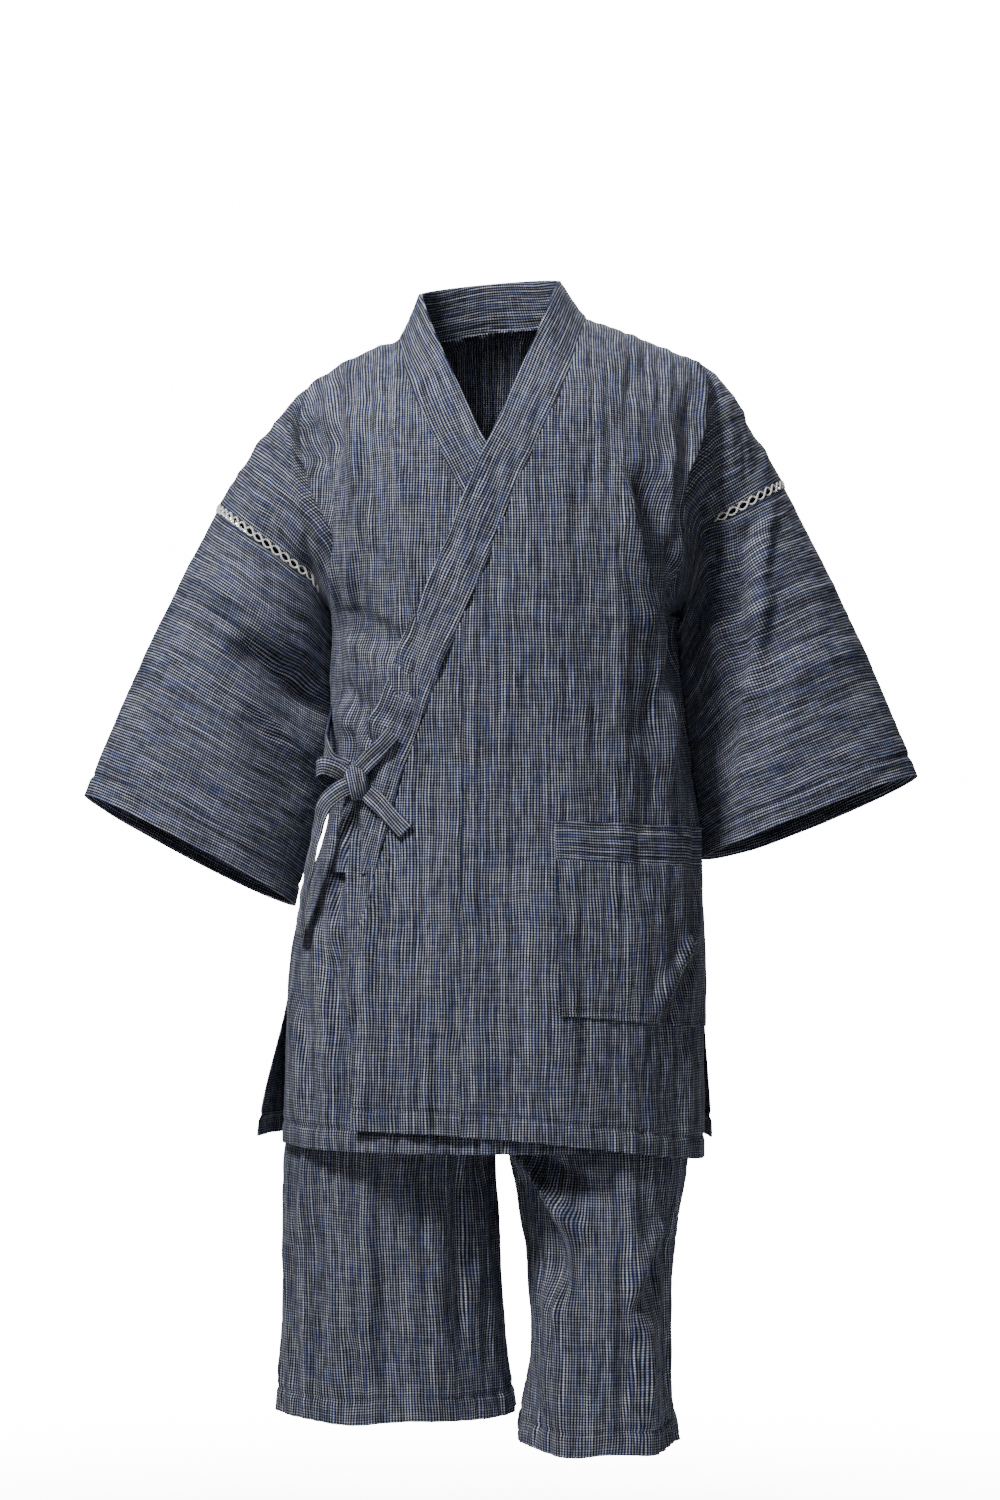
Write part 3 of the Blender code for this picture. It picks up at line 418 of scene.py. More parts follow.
@dataclass(frozen=True)
class JacketForm:
    """The jacket's surfaces: level runs from 0 at the hem over 1 at the armpit to 2 on the shoulder line."""

    torso: Torso = Torso()
    lap: float = 0.0065
    gore_tip: float = 0.965
    collar_end: float = 0.489
    pocket_foot: float = 0.2415
    pocket_split: float = 0.533
    pocket_top: float = 0.607
    neck_depth: float = 0.056
    neck_share: float = 0.36
    ring_depth: float = 0.070
    cuff_depth: float = 0.048
    cuff_lean: float = 0.22
    lacing_gap: float = 0.0070
    crease_foot: float = 0.80
    crease_width: float = 0.14
    collar_width: float = 0.040
    collar_top_depth: float = 0.048
    collar_top_rise: float = 0.010

    COLLAR_SEAM = {
        Side.LEFT: Curve(
            (-0.510, -0.470, -0.422, -0.382, -0.332, -0.270, -0.209, -0.158, -0.095, -0.033, 0.010),
            (-0.104, -0.092, -0.080, -0.0665, -0.0494, -0.025, 0.000, 0.0193, 0.0494, 0.073, 0.087)),
        Side.RIGHT: Curve(
            (-0.510, -0.470, -0.422, -0.382, -0.332, -0.270, -0.209, -0.158, -0.100, -0.047, -0.009),
            (0.102, 0.091, 0.079, 0.0655, 0.048, 0.024, 0.000, -0.028, -0.058, -0.078, -0.087)),
    }
    FREE_EDGE = {
        Side.LEFT: Curve((-0.780, -0.675, -0.585, -0.5575, -0.540, -0.510),
                         (-0.123, -0.125, -0.125, -0.118, -0.110, -0.104)),
        Side.RIGHT: Curve((-0.780, -0.675, -0.585, -0.5575, -0.540, -0.510),
                          (0.124, 0.124, 0.122, 0.116, 0.109, 0.102)),
    }
    GORE_SEAM = {Side.LEFT: (-0.029, -0.025), Side.RIGHT: (0.008, 0.024)}
    CREASE_HEAD = {Side.RIGHT: 0.41, Side.LEFT: 0.51}
    LACING_RISE = {Side.RIGHT: 0.024, Side.LEFT: 0.072}
    LACING_OPENS = {Side.RIGHT: (0.10, 0.34), Side.LEFT: (0.30, 0.46)}
    RING_TOP = {Side.RIGHT: (-0.260, 0.040, -0.162), Side.LEFT: (0.2743, 0.040, -0.1396)}
    RING_ARMPIT = {Side.RIGHT: (-0.151, 0.035, -0.267), Side.LEFT: (0.177, 0.035, -0.267)}
    CUFF_TOP = {Side.RIGHT: (-0.382, -0.012, -0.438), Side.LEFT: (0.397, -0.012, -0.420)}
    CUFF_ARMPIT = {Side.RIGHT: (-0.187, -0.012, -0.541), Side.LEFT: (0.208, -0.012, -0.497)}
    COLLAR_TOP = {Side.RIGHT: (-0.068, 0.005, 0.034), Side.LEFT: (0.062, 0.005, 0.046)}
    SIDE_BULGE = {Side.RIGHT: 0.006, Side.LEFT: -0.005}

    def hem_z(self, side: Side, face: Face, x: Array) -> Array:
        """Height of the hem at x."""
        if face == Face.BACK:
            return np.full(np.shape(x), BACK_HEM_Z)
        if side == Side.RIGHT:
            return np.full(np.shape(x), INNER_HEM_Z)
        return OUTER_HEM_Z - OUTER_HEM_DROP * ((x + 0.123) / 0.318) ** 2

    def lap_lift(self, side: Side, x: Array, z: Array) -> Array:
        """How far the outer front stands off the inner one."""
        if side == Side.RIGHT:
            return np.zeros(np.broadcast(x, z).shape)
        fade = mix(0.135, 0.090, ease(-0.300, -0.220, z))
        share = np.clip((x - fade) / 0.035, 0.0, 1.0)
        away = share * share * (3.0 - 2.0 * share)
        return self.lap * (1.0 - away) * (1.0 - ease(-0.080, -0.010, z))

    def outwards(self, x: Array, z: Array) -> Array:
        """Direction out of the smooth front surface."""
        step = 0.002
        torso = self.torso
        rise_x = torso.depth(x + step, z, Face.FRONT) - torso.depth(x - step, z, Face.FRONT)
        rise_z = torso.depth(x, z + step, Face.FRONT) - torso.depth(x, z - step, Face.FRONT)
        return unit(stack(rise_x / (2 * step), -1.0, rise_z / (2 * step)))

    def solid_fold(self, x: Array, z: Array) -> Array:
        """Sum of the large folds that the solids hold too."""
        total = np.zeros(np.broadcast(x, z).shape)
        for top_x, top_z, foot_x, foot_z, width, height in SOLID_FOLDS:
            run_x, run_z = foot_x - top_x, foot_z - top_z
            along = ((x - top_x) * run_x + (z - top_z) * run_z) / (run_x ** 2 + run_z ** 2)
            held = np.clip(along, 0.0, 1.0)
            off = (x - top_x - run_x * held) ** 2 + (z - top_z - run_z * held) ** 2
            total += height * np.exp(-off / width ** 2)
        return total * (1.0 - ease(0.86, 0.97, np.abs(self.torso.across(x, z))))

    def dressed(self, side: Side, points: Array) -> Array:
        """Push front points out by the lap and by the large folds."""
        x, z = points[..., 0], points[..., 2]
        moved = points + self.outwards(x, z) * self.lap_lift(side, x, z)[..., None]
        moved[..., 1] -= self.solid_fold(moved[..., 0], moved[..., 2])
        return moved

    def start_x(self, side: Side, face: Face, level: Array) -> Array:
        """X of a body panel's inner edge below the armpit."""
        if face == Face.BACK:
            return side * SEAM + 0.0 * level
        return mix(*self.GORE_SEAM[side], level) + side * SEAM / 2

    def lower(self, side: Side, face: Face, start: Array, level: Array, u: Array) -> Array:
        """Points on the torso below the armpit; u runs from the inner edge to the side seam."""
        torso = self.torso
        guess = mix(self.hem_z(side, face, start), ARMPIT_Z, level)
        first = torso.across(start, guess)
        angle = np.copysign(np.arcsin(np.minimum(np.abs(first), 1.0) ** (torso.fullness / 2)), first)
        angle = mix(angle, side * math.pi / 2, u)
        share = np.copysign(np.abs(np.sin(angle)) ** (2 / torso.fullness), angle)
        x = torso.middle(guess) + torso.half(guess) * share
        z = mix(self.hem_z(side, face, x), ARMPIT_Z, level)
        bulge = np.abs(np.cos(angle)) ** (2 / torso.fullness)
        seam_y = torso.side(z)
        gap = face * mix(SEAM, 0.0012, ease(0.85, 1.0, level))
        y = seam_y + (torso.reach(face, z) - seam_y) * bulge + gap
        if face == Face.BACK:
            flare = (0.028 if side == Side.RIGHT else 0.008) * ease(0.0, 0.16, SLIT_Z - z)
            x = x + side * flare * u ** 3
            y = y + 0.5 * flare * u ** 3
        return stack(x, y, z)

    def ring(self, side: Side, face: Face, w: Array) -> Array:
        """Points of the ring where the body panel ends; w is 0 at the armpit and 1 on the shoulder."""
        low, high = np.array(self.RING_ARMPIT[side]), np.array(self.RING_TOP[side])
        share = (1.0 - np.cos(math.pi * w)) / 2
        points = low + (high - low) * share[..., None]
        points[..., 1] += face * (self.ring_depth * np.sin(math.pi * w) + SEAM * (1.0 - ease(0.0, 0.3, w)))
        if face == Face.FRONT:
            points[..., 2] += self.LACING_RISE[side] * (1.0 - share) * ease(0.0, 0.20, share)
        return points

    def neck(self, side: Side, t: Array) -> Array:
        """Neckline behind the shoulder line; t is 0 on the shoulder and 1 at the centre back."""
        torso = self.torso
        x = side * np.maximum(torso.neck_x * np.cos(math.pi / 2 * t), SEAM)
        y = torso.neck_y + self.neck_depth * np.sin(math.pi / 2 * t)
        full = torso.full(x, torso.shoulder(x) - torso.back_rounding, Face.BACK)
        crown = np.clip((y - torso.shoulder_y(x)) / (full - torso.shoulder_y(x)), -1.0, 1.0)
        return stack(x, y, torso.shoulder(x) - torso.back_rounding * (1.0 - np.sqrt(1.0 - crown ** 2)))

    def edge(self, side: Side, face: Face, w: Array) -> Array:
        """Inner edge of the body panel above the armpit: collar seam, neckline or centre back."""
        w = np.asarray(w, float)
        if face == Face.FRONT:
            seam = self.COLLAR_SEAM[side]
            z = mix(ARMPIT_Z, seam.knots[-1], np.sin(math.pi / 2 * w))
            x = seam(z)
            return stack(x, self.torso.depth(x, z, Face.FRONT), z)
        collar = self.neck(side, np.clip((1.0 - w) / self.neck_share, 0.0, 1.0))
        low = self.neck(side, np.ones(()))
        z = mix(ARMPIT_Z, low[..., 2], w / (1.0 - self.neck_share))
        centre = stack(side * SEAM, self.torso.depth(0.0 * z, z, Face.BACK), z)
        return np.where((w > 1.0 - self.neck_share)[..., None], collar, centre)

    def shoulder(self, side: Side, u: Array) -> Array:
        """Points on the shoulder line; u is 0 at the neck and 1 at the ring."""
        x = mix(side * self.torso.neck_x, self.RING_TOP[side][0], u)
        return stack(x, self.torso.shoulder_y(x), self.torso.shoulder(x))

    def yoke(self, side: Side, face: Face, w: Array, u: Array) -> Array:
        """Points above the armpit: a patch between armpit row, shoulder line, inner edge and ring."""
        w, u = np.broadcast_arrays(np.asarray(w, float), np.asarray(u, float))
        none, one = np.zeros(()), np.ones(())
        foot = self.edge(side, face, none)
        low = self.lower(side, face, foot[0], one, u)
        high = self.shoulder(side, u)
        blend = w[..., None]
        aside = u[..., None]
        start = foot + (self.shoulder(side, none) - foot) * blend
        end = self.ring(side, face, none) + (self.ring(side, face, one) - self.ring(side, face, none)) * blend
        outer = self.ring(side, face, w)
        points = low + (high - low) * blend + (self.edge(side, face, w) - start) * (1.0 - aside)
        points = points + (outer - end) * aside
        x, z = points[..., 0], points[..., 2]
        torso = self.torso
        chest = torso.depth(x, z, face) + face * SEAM * (1.0 - ease(0.0, 0.3, w))
        arm = torso.shoulder_y(x) + face * self.ring_depth * np.abs(np.sin(math.pi * w)) ** 0.8
        crease = self.crease(side, w)
        share = np.clip((u - crease + 0.02) / (self.crease_width + 0.02), 0.0, 1.0)
        turn = share * share * (3.0 - 2.0 * share) * ease(0.0, 0.20, w)
        y = mix(mix(chest, arm, turn), outer[..., 1], ease(0.85, 1.0, u))
        points[..., 1] = np.where(w >= 1.0, torso.shoulder_y(x), y)
        return points

    def crease(self, side: Side, w: Array) -> Array:
        """Column place of the armhole crease, from the armpit up to the shoulder line."""
        return mix(self.crease_foot, self.CREASE_HEAD[side], w)

    def body(self, side: Side, face: Face, level: float, u: Array) -> Array:
        """One row of a body panel's points, before the lap and the folds."""
        if level <= 1.0:
            start = self.start_x(side, face, np.asarray(level))
            return self.lower(side, face, start, np.asarray(level), u)
        return self.yoke(side, face, level - 1.0, u)

    def gore(self, side: Side, level: Array, share: Array) -> Array:
        """Points of the front gore; share is 0 at its seam and 1 at the front edge."""
        seam_x = mix(*self.GORE_SEAM[side], level) - side * SEAM / 2
        seam_z = mix(self.hem_z(side, Face.FRONT, seam_x), ARMPIT_Z, level)
        above = seam_z >= COLLAR_END_Z
        edge_x = np.where(above, self.COLLAR_SEAM[side](seam_z), self.FREE_EDGE[side](seam_z))
        x = mix(seam_x, edge_x, share)
        z = mix(self.hem_z(side, Face.FRONT, x), ARMPIT_Z, level)
        return self.dressed(side, stack(x, self.torso.depth(x, z, Face.FRONT) - SEAM, z))

    def gap(self, side: Side, w: Array) -> Array:
        """Width of the laced gap, which closes towards the armpit."""
        return self.lacing_gap * mix(0.25, 1.0, ease(*self.LACING_OPENS[side], w))

    def sleeve_axis(self, side: Side) -> Array:
        """Direction from the ring's middle to the cuff's middle."""
        ring = (np.array(self.RING_TOP[side]) + np.array(self.RING_ARMPIT[side])) / 2
        cuff = (np.array(self.CUFF_TOP[side]) + np.array(self.CUFF_ARMPIT[side])) / 2
        return unit(cuff - ring)

    def sleeve(self, side: Side, face: Face, w: Array, t: Array) -> Array:
        """Points of the sleeve; t is 0 at the lacing and 1 at the cuff."""
        start = self.ring(side, face, w) + self.sleeve_axis(side) * self.gap(side, w)[..., None]
        low, high = np.array(self.CUFF_ARMPIT[side]), np.array(self.CUFF_TOP[side])
        cuff = low + (high - low) * ((1.0 - np.cos(math.pi * w)) / 2)[..., None]
        depth = face * self.cuff_depth * np.sin(math.pi * w)
        cuff = cuff + stack(0.0, depth, -self.cuff_lean * depth)
        points = start + (cuff - start) * t[..., None]
        belly = np.sin(math.pi * t)
        side_bulge = self.SIDE_BULGE[side] * (1.0 - ease(0.0, 0.4, w))
        points[..., 0] += side * (0.005 * ease(0.6, 1.0, w) - side_bulge) * belly
        points[..., 1] += face * 0.004 * belly * np.sin(math.pi * w)
        return points


def normals_of(points: Array, outwards: int) -> Array:
    """Normals of a grid of points.

    Args:
        points: Grid of points, rows by columns.
        outwards: 1 or -1, the sign that makes them point out of the garment.

    Returns:
        Unit normals, one a point.
    """
    rise = np.gradient(points, axis=0)
    run = np.gradient(points, axis=1)
    return unit(np.cross(run, rise)) * outwards


def lengths_along(points: Array, axis: int) -> Array:
    """Length along the rows or columns of a grid, from its first line on."""
    steps = np.linalg.norm(np.diff(points, axis=axis), axis=-1)
    start = np.zeros_like(np.take(steps, [0], axis=axis))
    return np.concatenate([start, np.cumsum(steps, axis=axis)], axis=axis)


def along_line(points: Array, steps: Array, at: Array) -> Array:
    """Points at distances along a line, of which steps are the distances of its own points."""
    return np.stack([np.interp(at, steps, points[:, k]) for k in range(3)], axis=-1)


@dataclass(frozen=True)
class Hem:
    """A turned hem: the cloth lies double up to the groove that its stitches pull in.

    Attributes:
        width: Height of the hem.
        groove: Depth of the groove.
        groove_width: Half of the groove's width.
    """

    width: float
    groove: float = 0.0016
    groove_width: float = 0.0028

    def double(self, height: Array) -> Array:
        """Weights at heights above the hem's edge, 1 where the cloth lies double."""
        return 1.0 - ease(self.width - 0.002, self.width + 0.0025, height)

    def sunk(self, height: Array) -> Array:
        """Depth of the groove at heights above the hem's edge."""
        return self.groove * np.exp(-((height - self.width) / self.groove_width) ** 2)

    def row(self, height: Array) -> int:
        """Row of a column of heights that lies in the groove."""
        return int(np.argmin(np.abs(height - self.width)))


def add_object(name: str, data: bpy.types.ID) -> bpy.types.Object:
    """Put a mesh, curve, light or camera into the scene."""
    made = bpy.data.objects.new(name, data)
    bpy.context.scene.collection.objects.link(made)
    return made


@dataclass
class ClothGrid:
    """A cloth piece as a grid of points with its normals and its grain.

    Attributes:
        name: Name of the piece.
        points: Rows by columns of points, folds included.
        grain: Rows by columns of (across, along) in metres, for the weave.
        outwards: 1 or -1, the side of the grid that faces out.
        closed: True for a tube, whose last column lies on its first.
        hem: Rows by columns of weights, 1 where the cloth lies double.
    """

    name: str
    points: Array
    grain: Array
    outwards: int
    closed: bool = False
    hem: Array | None = None

    def normals(self) -> Array:
        """Unit normals that point out of the garment."""
        return normals_of(self.points, self.outwards)

    def area(self) -> float:
        """Area of the sheet in square metres."""
        rise = np.diff(self.points, axis=0)[:, :-1]
        run = np.diff(self.points, axis=1)[:-1]
        return float(np.linalg.norm(np.cross(run, rise), axis=-1).sum())

    def build(self, thickness: float, material: bpy.types.Material) -> bpy.types.Object:
        """Make the piece: a grid moved into place, then given its wall and its rounded rims.

        Args:
            thickness: Thickness of the cloth where it lies single.
            material: Finish of the piece.

        Returns:
            The new object.
        """
        rows, columns = self.points.shape[:2]
        bm = bmesh.new()
        bmesh.ops.create_grid(bm, x_segments=columns - 1, y_segments=rows - 1, size=1.0)
        mesh = bpy.data.meshes.new(self.name)
        bm.to_mesh(mesh)
        bm.free()
        flat = np.empty(len(mesh.vertices) * 3)
        mesh.vertices.foreach_get("co", flat)
        flat = flat.reshape(-1, 3)
        column = np.rint((flat[:, 0] + 1.0) / 2.0 * (columns - 1)).astype(int)
        row = np.rint((flat[:, 1] + 1.0) / 2.0 * (rows - 1)).astype(int)
        mesh.vertices.foreach_set("co", self.points[row, column].astype(np.float32).ravel())
        corners = np.empty(len(mesh.loops), int)
        mesh.loops.foreach_get("vertex_index", corners)
        layer = mesh.uv_layers.new(name=GRAIN)
        layer.data.foreach_set("uv", self.grain[row, column][corners].astype(np.float32).ravel())
        piece = add_object(self.name, mesh)
        group = piece.vertex_groups.new(name=HEM_GROUP)
        if self.hem is not None:
            weights = np.rint(self.hem[row, column] * HEM_STEPS)
            for step in range(1, HEM_STEPS + 1):
                group.add(np.nonzero(weights == step)[0].tolist(), step / HEM_STEPS, "REPLACE")
        bm = bmesh.new()
        bm.from_mesh(mesh)
        if self.closed:
            bmesh.ops.remove_doubles(bm, verts=bm.verts[:], dist=1e-6)
        if self.outwards < 0:
            bmesh.ops.reverse_faces(bm, faces=bm.faces[:])
        bm.to_mesh(mesh)
        bm.free()
        mesh.shade_smooth()
        mesh.materials.append(material)
        add_wall(piece, thickness, self.hem is not None)
        return piece


def add_wall(piece: bpy.types.Object, thickness: float, hemmed: bool) -> None:
    """Give a sheet its wall and its rounded rims.

    Args:
        piece: The sheet.
        thickness: Thickness where the cloth lies single.
        hemmed: True where the hem group makes it thicker.
    """
    wall = piece.modifiers.new("cloth wall", "SOLIDIFY")
    wall.offset = 0.0
    wall.thickness = HEM_CLOTH if hemmed else thickness
    if hemmed:
        wall.vertex_group = HEM_GROUP
        wall.thickness_vertex_group = thickness / HEM_CLOTH
    rim = piece.modifiers.new("rounded rim", "BEVEL")
    rim.width = 0.35 * thickness
    rim.segments = 2
    rim.limit_method = "ANGLE"
    rim.angle_limit = math.radians(62.0)


def settle(piece: bpy.types.Object, nodes: tuple[str, ...]) -> bpy.types.Object:
    """Let a piece ride on the part and stand for its CAD nodes."""
    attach(piece, "root")
    if nodes:
        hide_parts(*nodes)
    return piece


def to_linear(code: str) -> tuple[float, float, float, float]:
    """Turn an sRGB hex code into a linear colour."""
    shares = [int(code[k:k + 2], 16) / 255 for k in (0, 2, 4)]
    linear = [s / 12.92 if s <= 0.04045 else ((s + 0.055) / 1.055) ** 2.4 for s in shares]
    return (*linear, 1.0)


def add_node(tree: bpy.types.NodeTree, kind: str, inputs: dict | None = None,
             **settings: object) -> bpy.types.Node:
    """Add a shader node.

    Args:
        tree: Tree that takes the node.
        kind: Type of the node.
        inputs: Value, linked output or linked node for each input, by name or place. A node gives its
            first output in use.
        settings: Properties of the node.

    Returns:
        The new node.
    """
    node = tree.nodes.new(kind)
    for key, value in settings.items():
        setattr(node, key, value)
    for key, value in (inputs or {}).items():
        if isinstance(value, bpy.types.Node):
            value = next(output for output in value.outputs if output.enabled)
        if isinstance(value, bpy.types.NodeSocket):
            tree.links.new(value, node.inputs[key])
        else:
            node.inputs[key].default_value = value
    return node


def new_material(name: str) -> tuple[bpy.types.Material, bpy.types.NodeTree, bpy.types.Node]:
    """Start a material with its Principled shader."""
    material = bpy.data.materials.new(name)
    material.use_nodes = True
    return material, material.node_tree, material.node_tree.nodes["Principled BSDF"]


@dataclass(frozen=True)
class YarnDyedCotton:
    """Plain-woven slub cotton: pale and indigo warp yarns crossed by an indigo weft, crinkled in finishing.

    The eye sees fine broken pale lines along the grain, cut by dark gaps into a grid, on near-black indigo
    with glints of stronger blue; the darkest gaps between the yarns are painted shade. The real yarns repeat
    every 2.2 mm; they are drawn 2.6 mm apart, because a finer repeat would blur into one grey.

    Attributes:
        name: Name of the material.
        warp_pitch: Distance between two warp yarns.
        weft_pitch: Distance between two picks of the weft.
        shade: Painted shade for the gaps between the yarns, a near-black colour.
        navy: Usual colour of the indigo yarns.
        blue: Colour of their glints.
        light: Colour of the pale yarns.
        grey: Colour of the pale yarns that have aged.
        roughness: Roughness of the cloth.
        sheen: Weight of its fine fuzz.
        seed: Seed of the pattern.
        cut: How pale a yarn stays where a pick crosses it.
    """

    name: str = "yarn_dyed_cotton"
    warp_pitch: float = 0.0026
    weft_pitch: float = 0.0024
    shade: str = "04050a"
    navy: str = "0a0f26"
    blue: str = "283a78"
    light: str = "e9ecf4"
    grey: str = "a9aaa2"
    roughness: float = 0.92
    sheen: float = 0.08
    seed: float = 0.0
    cut: float = 0.22

    def build(self) -> bpy.types.Material:
        """Make the material on the pieces' grain map."""
        material, tree, shader = new_material(self.name)
        grain = add_node(tree, "ShaderNodeUVMap", uv_map=GRAIN)
        across, along, _ = add_node(tree, "ShaderNodeSeparateXYZ", {0: grain}).outputs
        # The yarns wander by a millimetre or two, as a crinkled weave's do
        sway, dip, crinkle = self.patterns(tree, (
            (grain, (16.0, 12.0), 1.0, 3.0), (grain, (30.0, 9.0), 1.0, 5.0),
            (grain, (150.0, 20.0), 1.0, 29.0)))
        index, middle = {}, {}
        for name, place, drift, reach, pitch in (("warp", across, sway, 0.007, self.warp_pitch),
                                                 ("weft", along, dip, 0.004, self.weft_pitch)):
            moved = add_node(tree, "ShaderNodeMath", {0: drift, 1: reach, 2: place}, operation="MULTIPLY_ADD")
            count = add_node(tree, "ShaderNodeMath", {0: moved, 1: pitch}, operation="DIVIDE")
            index[name] = add_node(tree, "ShaderNodeMath", {0: count}, operation="FLOOR")
            middle[name] = add_node(tree, "ShaderNodeMath", {0: count, 1: 0.5}, operation="PINGPONG")
        # Slubs: each yarn is thick and pale for some centimetres, then thin and dark. The indigo glints
        # are stronger in short lengths of single yarns
        warp_spot = add_node(tree, "ShaderNodeCombineXYZ", {0: index["warp"], 1: along})
        weft_spot = add_node(tree, "ShaderNodeCombineXYZ", {0: across, 1: index["weft"]})
        slub, streak, glint, weft_slub = self.patterns(tree, (
            (warp_spot, (1.37, 34.0), 2.0, 7.0), (warp_spot, (0.30, 11.0), 2.0, 11.0),
            (warp_spot, (0.93, 42.0), 1.0, 17.0), (weft_spot, (22.0, 0.77), 2.0, 13.0)))
        strength = add_node(tree, "ShaderNodeTexWhiteNoise", {"W": index["warp"]}, noise_dimensions="1D")
        other = add_node(tree, "ShaderNodeMath", {0: index["warp"], 1: 0.5}, operation="ADD")
        age = add_node(tree, "ShaderNodeTexWhiteNoise", {"W": other}, noise_dimensions="1D")
        share = {}
        for name, value, low, high, least, most in (
                ("line", middle["warp"], 0.18, 0.40, 0.0, 1.0),
                ("shown", middle["weft"], 0.10, 0.34, self.cut, 1.0),
                ("slub", slub, 0.34, 0.62, 0.42, 1.0),
                ("streak", streak, 0.36, 0.62, 0.86, 1.05),
                ("strength", strength, 0.0, 1.0, 0.72, 1.0),
                ("weft_slub", weft_slub, 0.34, 0.62, 0.92, 1.0),
                ("pick", middle["weft"], 0.16, 0.42, 0.0, 0.09),
                ("pick_slub", weft_slub, 0.42, 0.62, 0.0, 1.0),
                ("glint", glint, 0.42, 0.66, 0.1, 0.8),
                ("painted_shade_between_picks", middle["weft"], 0.02, 0.24, 0.8, 0.0),
                ("painted_shade_between_yarns", middle["warp"], 0.0, 0.16, 0.55, 0.0),
                ("age", age, 0.3, 0.9, 0.0, 0.7)):
            inputs = {"Value": value, "From Min": low, "From Max": high, "To Min": least, "To Max": most}
            share[name] = add_node(tree, "ShaderNodeMapRange", inputs, interpolation_type="SMOOTHSTEP")
        drawn = add_node(tree, "ShaderNodeMath", {0: share["line"], 1: share["shown"]}, operation="MULTIPLY")
        pale = drawn
        for name in ("slub", "streak", "strength", "weft_slub"):
            pale = add_node(tree, "ShaderNodeMath", {0: pale, 1: share[name]}, operation="MULTIPLY")
        pale = add_node(tree, "ShaderNodeMath", {0: share["pick"], 1: share["pick_slub"], 2: pale},
                        operation="MULTIPLY_ADD")
        # Painted shade: the gaps between the picks and between the yarns are darkened towards the near-black
        # shade colour
        painted_gap_shade = add_node(tree, "ShaderNodeMath", {0: share["painted_shade_between_picks"], 1: share["painted_shade_between_yarns"]},
                        operation="MAXIMUM")
        colour = {}
        for name, factor, first, second in (("indigo", share["glint"], self.navy, self.blue),
                                            ("ground", painted_gap_shade, "indigo", self.shade),
                                            ("thread", share["age"], self.light, self.grey),
                                            ("woven", pale, "ground", "thread")):
            ends = [colour[end] if end in colour else to_linear(end) for end in (first, second)]
            colour[name] = add_node(tree, "ShaderNodeMix", {0: factor, 6: ends[0], 7: ends[1]},
                                    data_type="RGBA", clamp_factor=True)
        tree.links.new(colour["woven"].outputs[2], shader.inputs["Base Color"])
        # The yarns stand up by a seventh of a millimetre, and the crinkle by some tenths
        relief = add_node(tree, "ShaderNodeMath", {0: crinkle, 1: 0.0026}, operation="MULTIPLY")
        relief = add_node(tree, "ShaderNodeMath", {0: drawn, 1: 0.00014, 2: relief}, operation="MULTIPLY_ADD")
        bump = add_node(tree, "ShaderNodeBump", {"Strength": 1.0, "Distance": 1.0, "Height": relief})
        tree.links.new(bump.outputs[0], shader.inputs["Normal"])
        shader.inputs["Roughness"].default_value = self.roughness
        shader.inputs["Sheen Weight"].default_value = self.sheen
        shader.inputs["Sheen Roughness"].default_value = 0.45
        shader.inputs["Sheen Tint"].default_value = to_linear("b9c4da")
        shader.inputs["Specular IOR Level"].default_value = 0.2
        return material

    def patterns(self, tree: bpy.types.NodeTree, wanted: tuple) -> list[bpy.types.Node]:
        """Add the uneven patterns that the yarns follow.

        Args:
            tree: Tree that takes the nodes.
            wanted: For each pattern the vector that it lies on, its two scales, its detail and its seed.

        Returns:
            One node a pattern.
        """
        made = []
        for source, scale, detail, seed in wanted:
            inputs = {0: source, 1: (*scale, 0.0), 2: (0.0, 0.0, self.seed + seed)}
            spot = add_node(tree, "ShaderNodeVectorMath", inputs, operation="MULTIPLY_ADD")
            inputs = {"Vector": spot, "Scale": 1.0, "Detail": detail, "Roughness": 0.6}
            made.append(add_node(tree, "ShaderNodeTexNoise", inputs, noise_dimensions="3D"))
        return made


@dataclass(frozen=True)
class CottonThread:
    """Soft twisted cotton thread: matt, with a fine fuzz that lightens its rims."""

    name: str = "cotton_thread"
    colour: str = "ffffff"
    shade: str = "f0eee6"
    roughness: float = 0.85

    def build(self) -> bpy.types.Material:
        """Make the material on Object coordinates, as the twist is in the mesh."""
        material, tree, shader = new_material(self.name)
        place = add_node(tree, "ShaderNodeTexCoord")
        inputs = {"Vector": place.outputs["Object"], "Scale": 900.0, "Detail": 2.0}
        fuzz = add_node(tree, "ShaderNodeTexNoise", inputs)
        inputs = {0: fuzz, 6: to_linear(self.colour), 7: to_linear(self.shade)}
        colour = add_node(tree, "ShaderNodeMix", inputs, data_type="RGBA")
        tree.links.new(colour.outputs[2], shader.inputs["Base Color"])
        bump = add_node(tree, "ShaderNodeBump", {"Strength": 0.5, "Distance": 0.0002, "Height": fuzz})
        tree.links.new(bump.outputs[0], shader.inputs["Normal"])
        shader.inputs["Roughness"].default_value = self.roughness
        shader.inputs["Sheen Weight"].default_value = 0.3
        return material


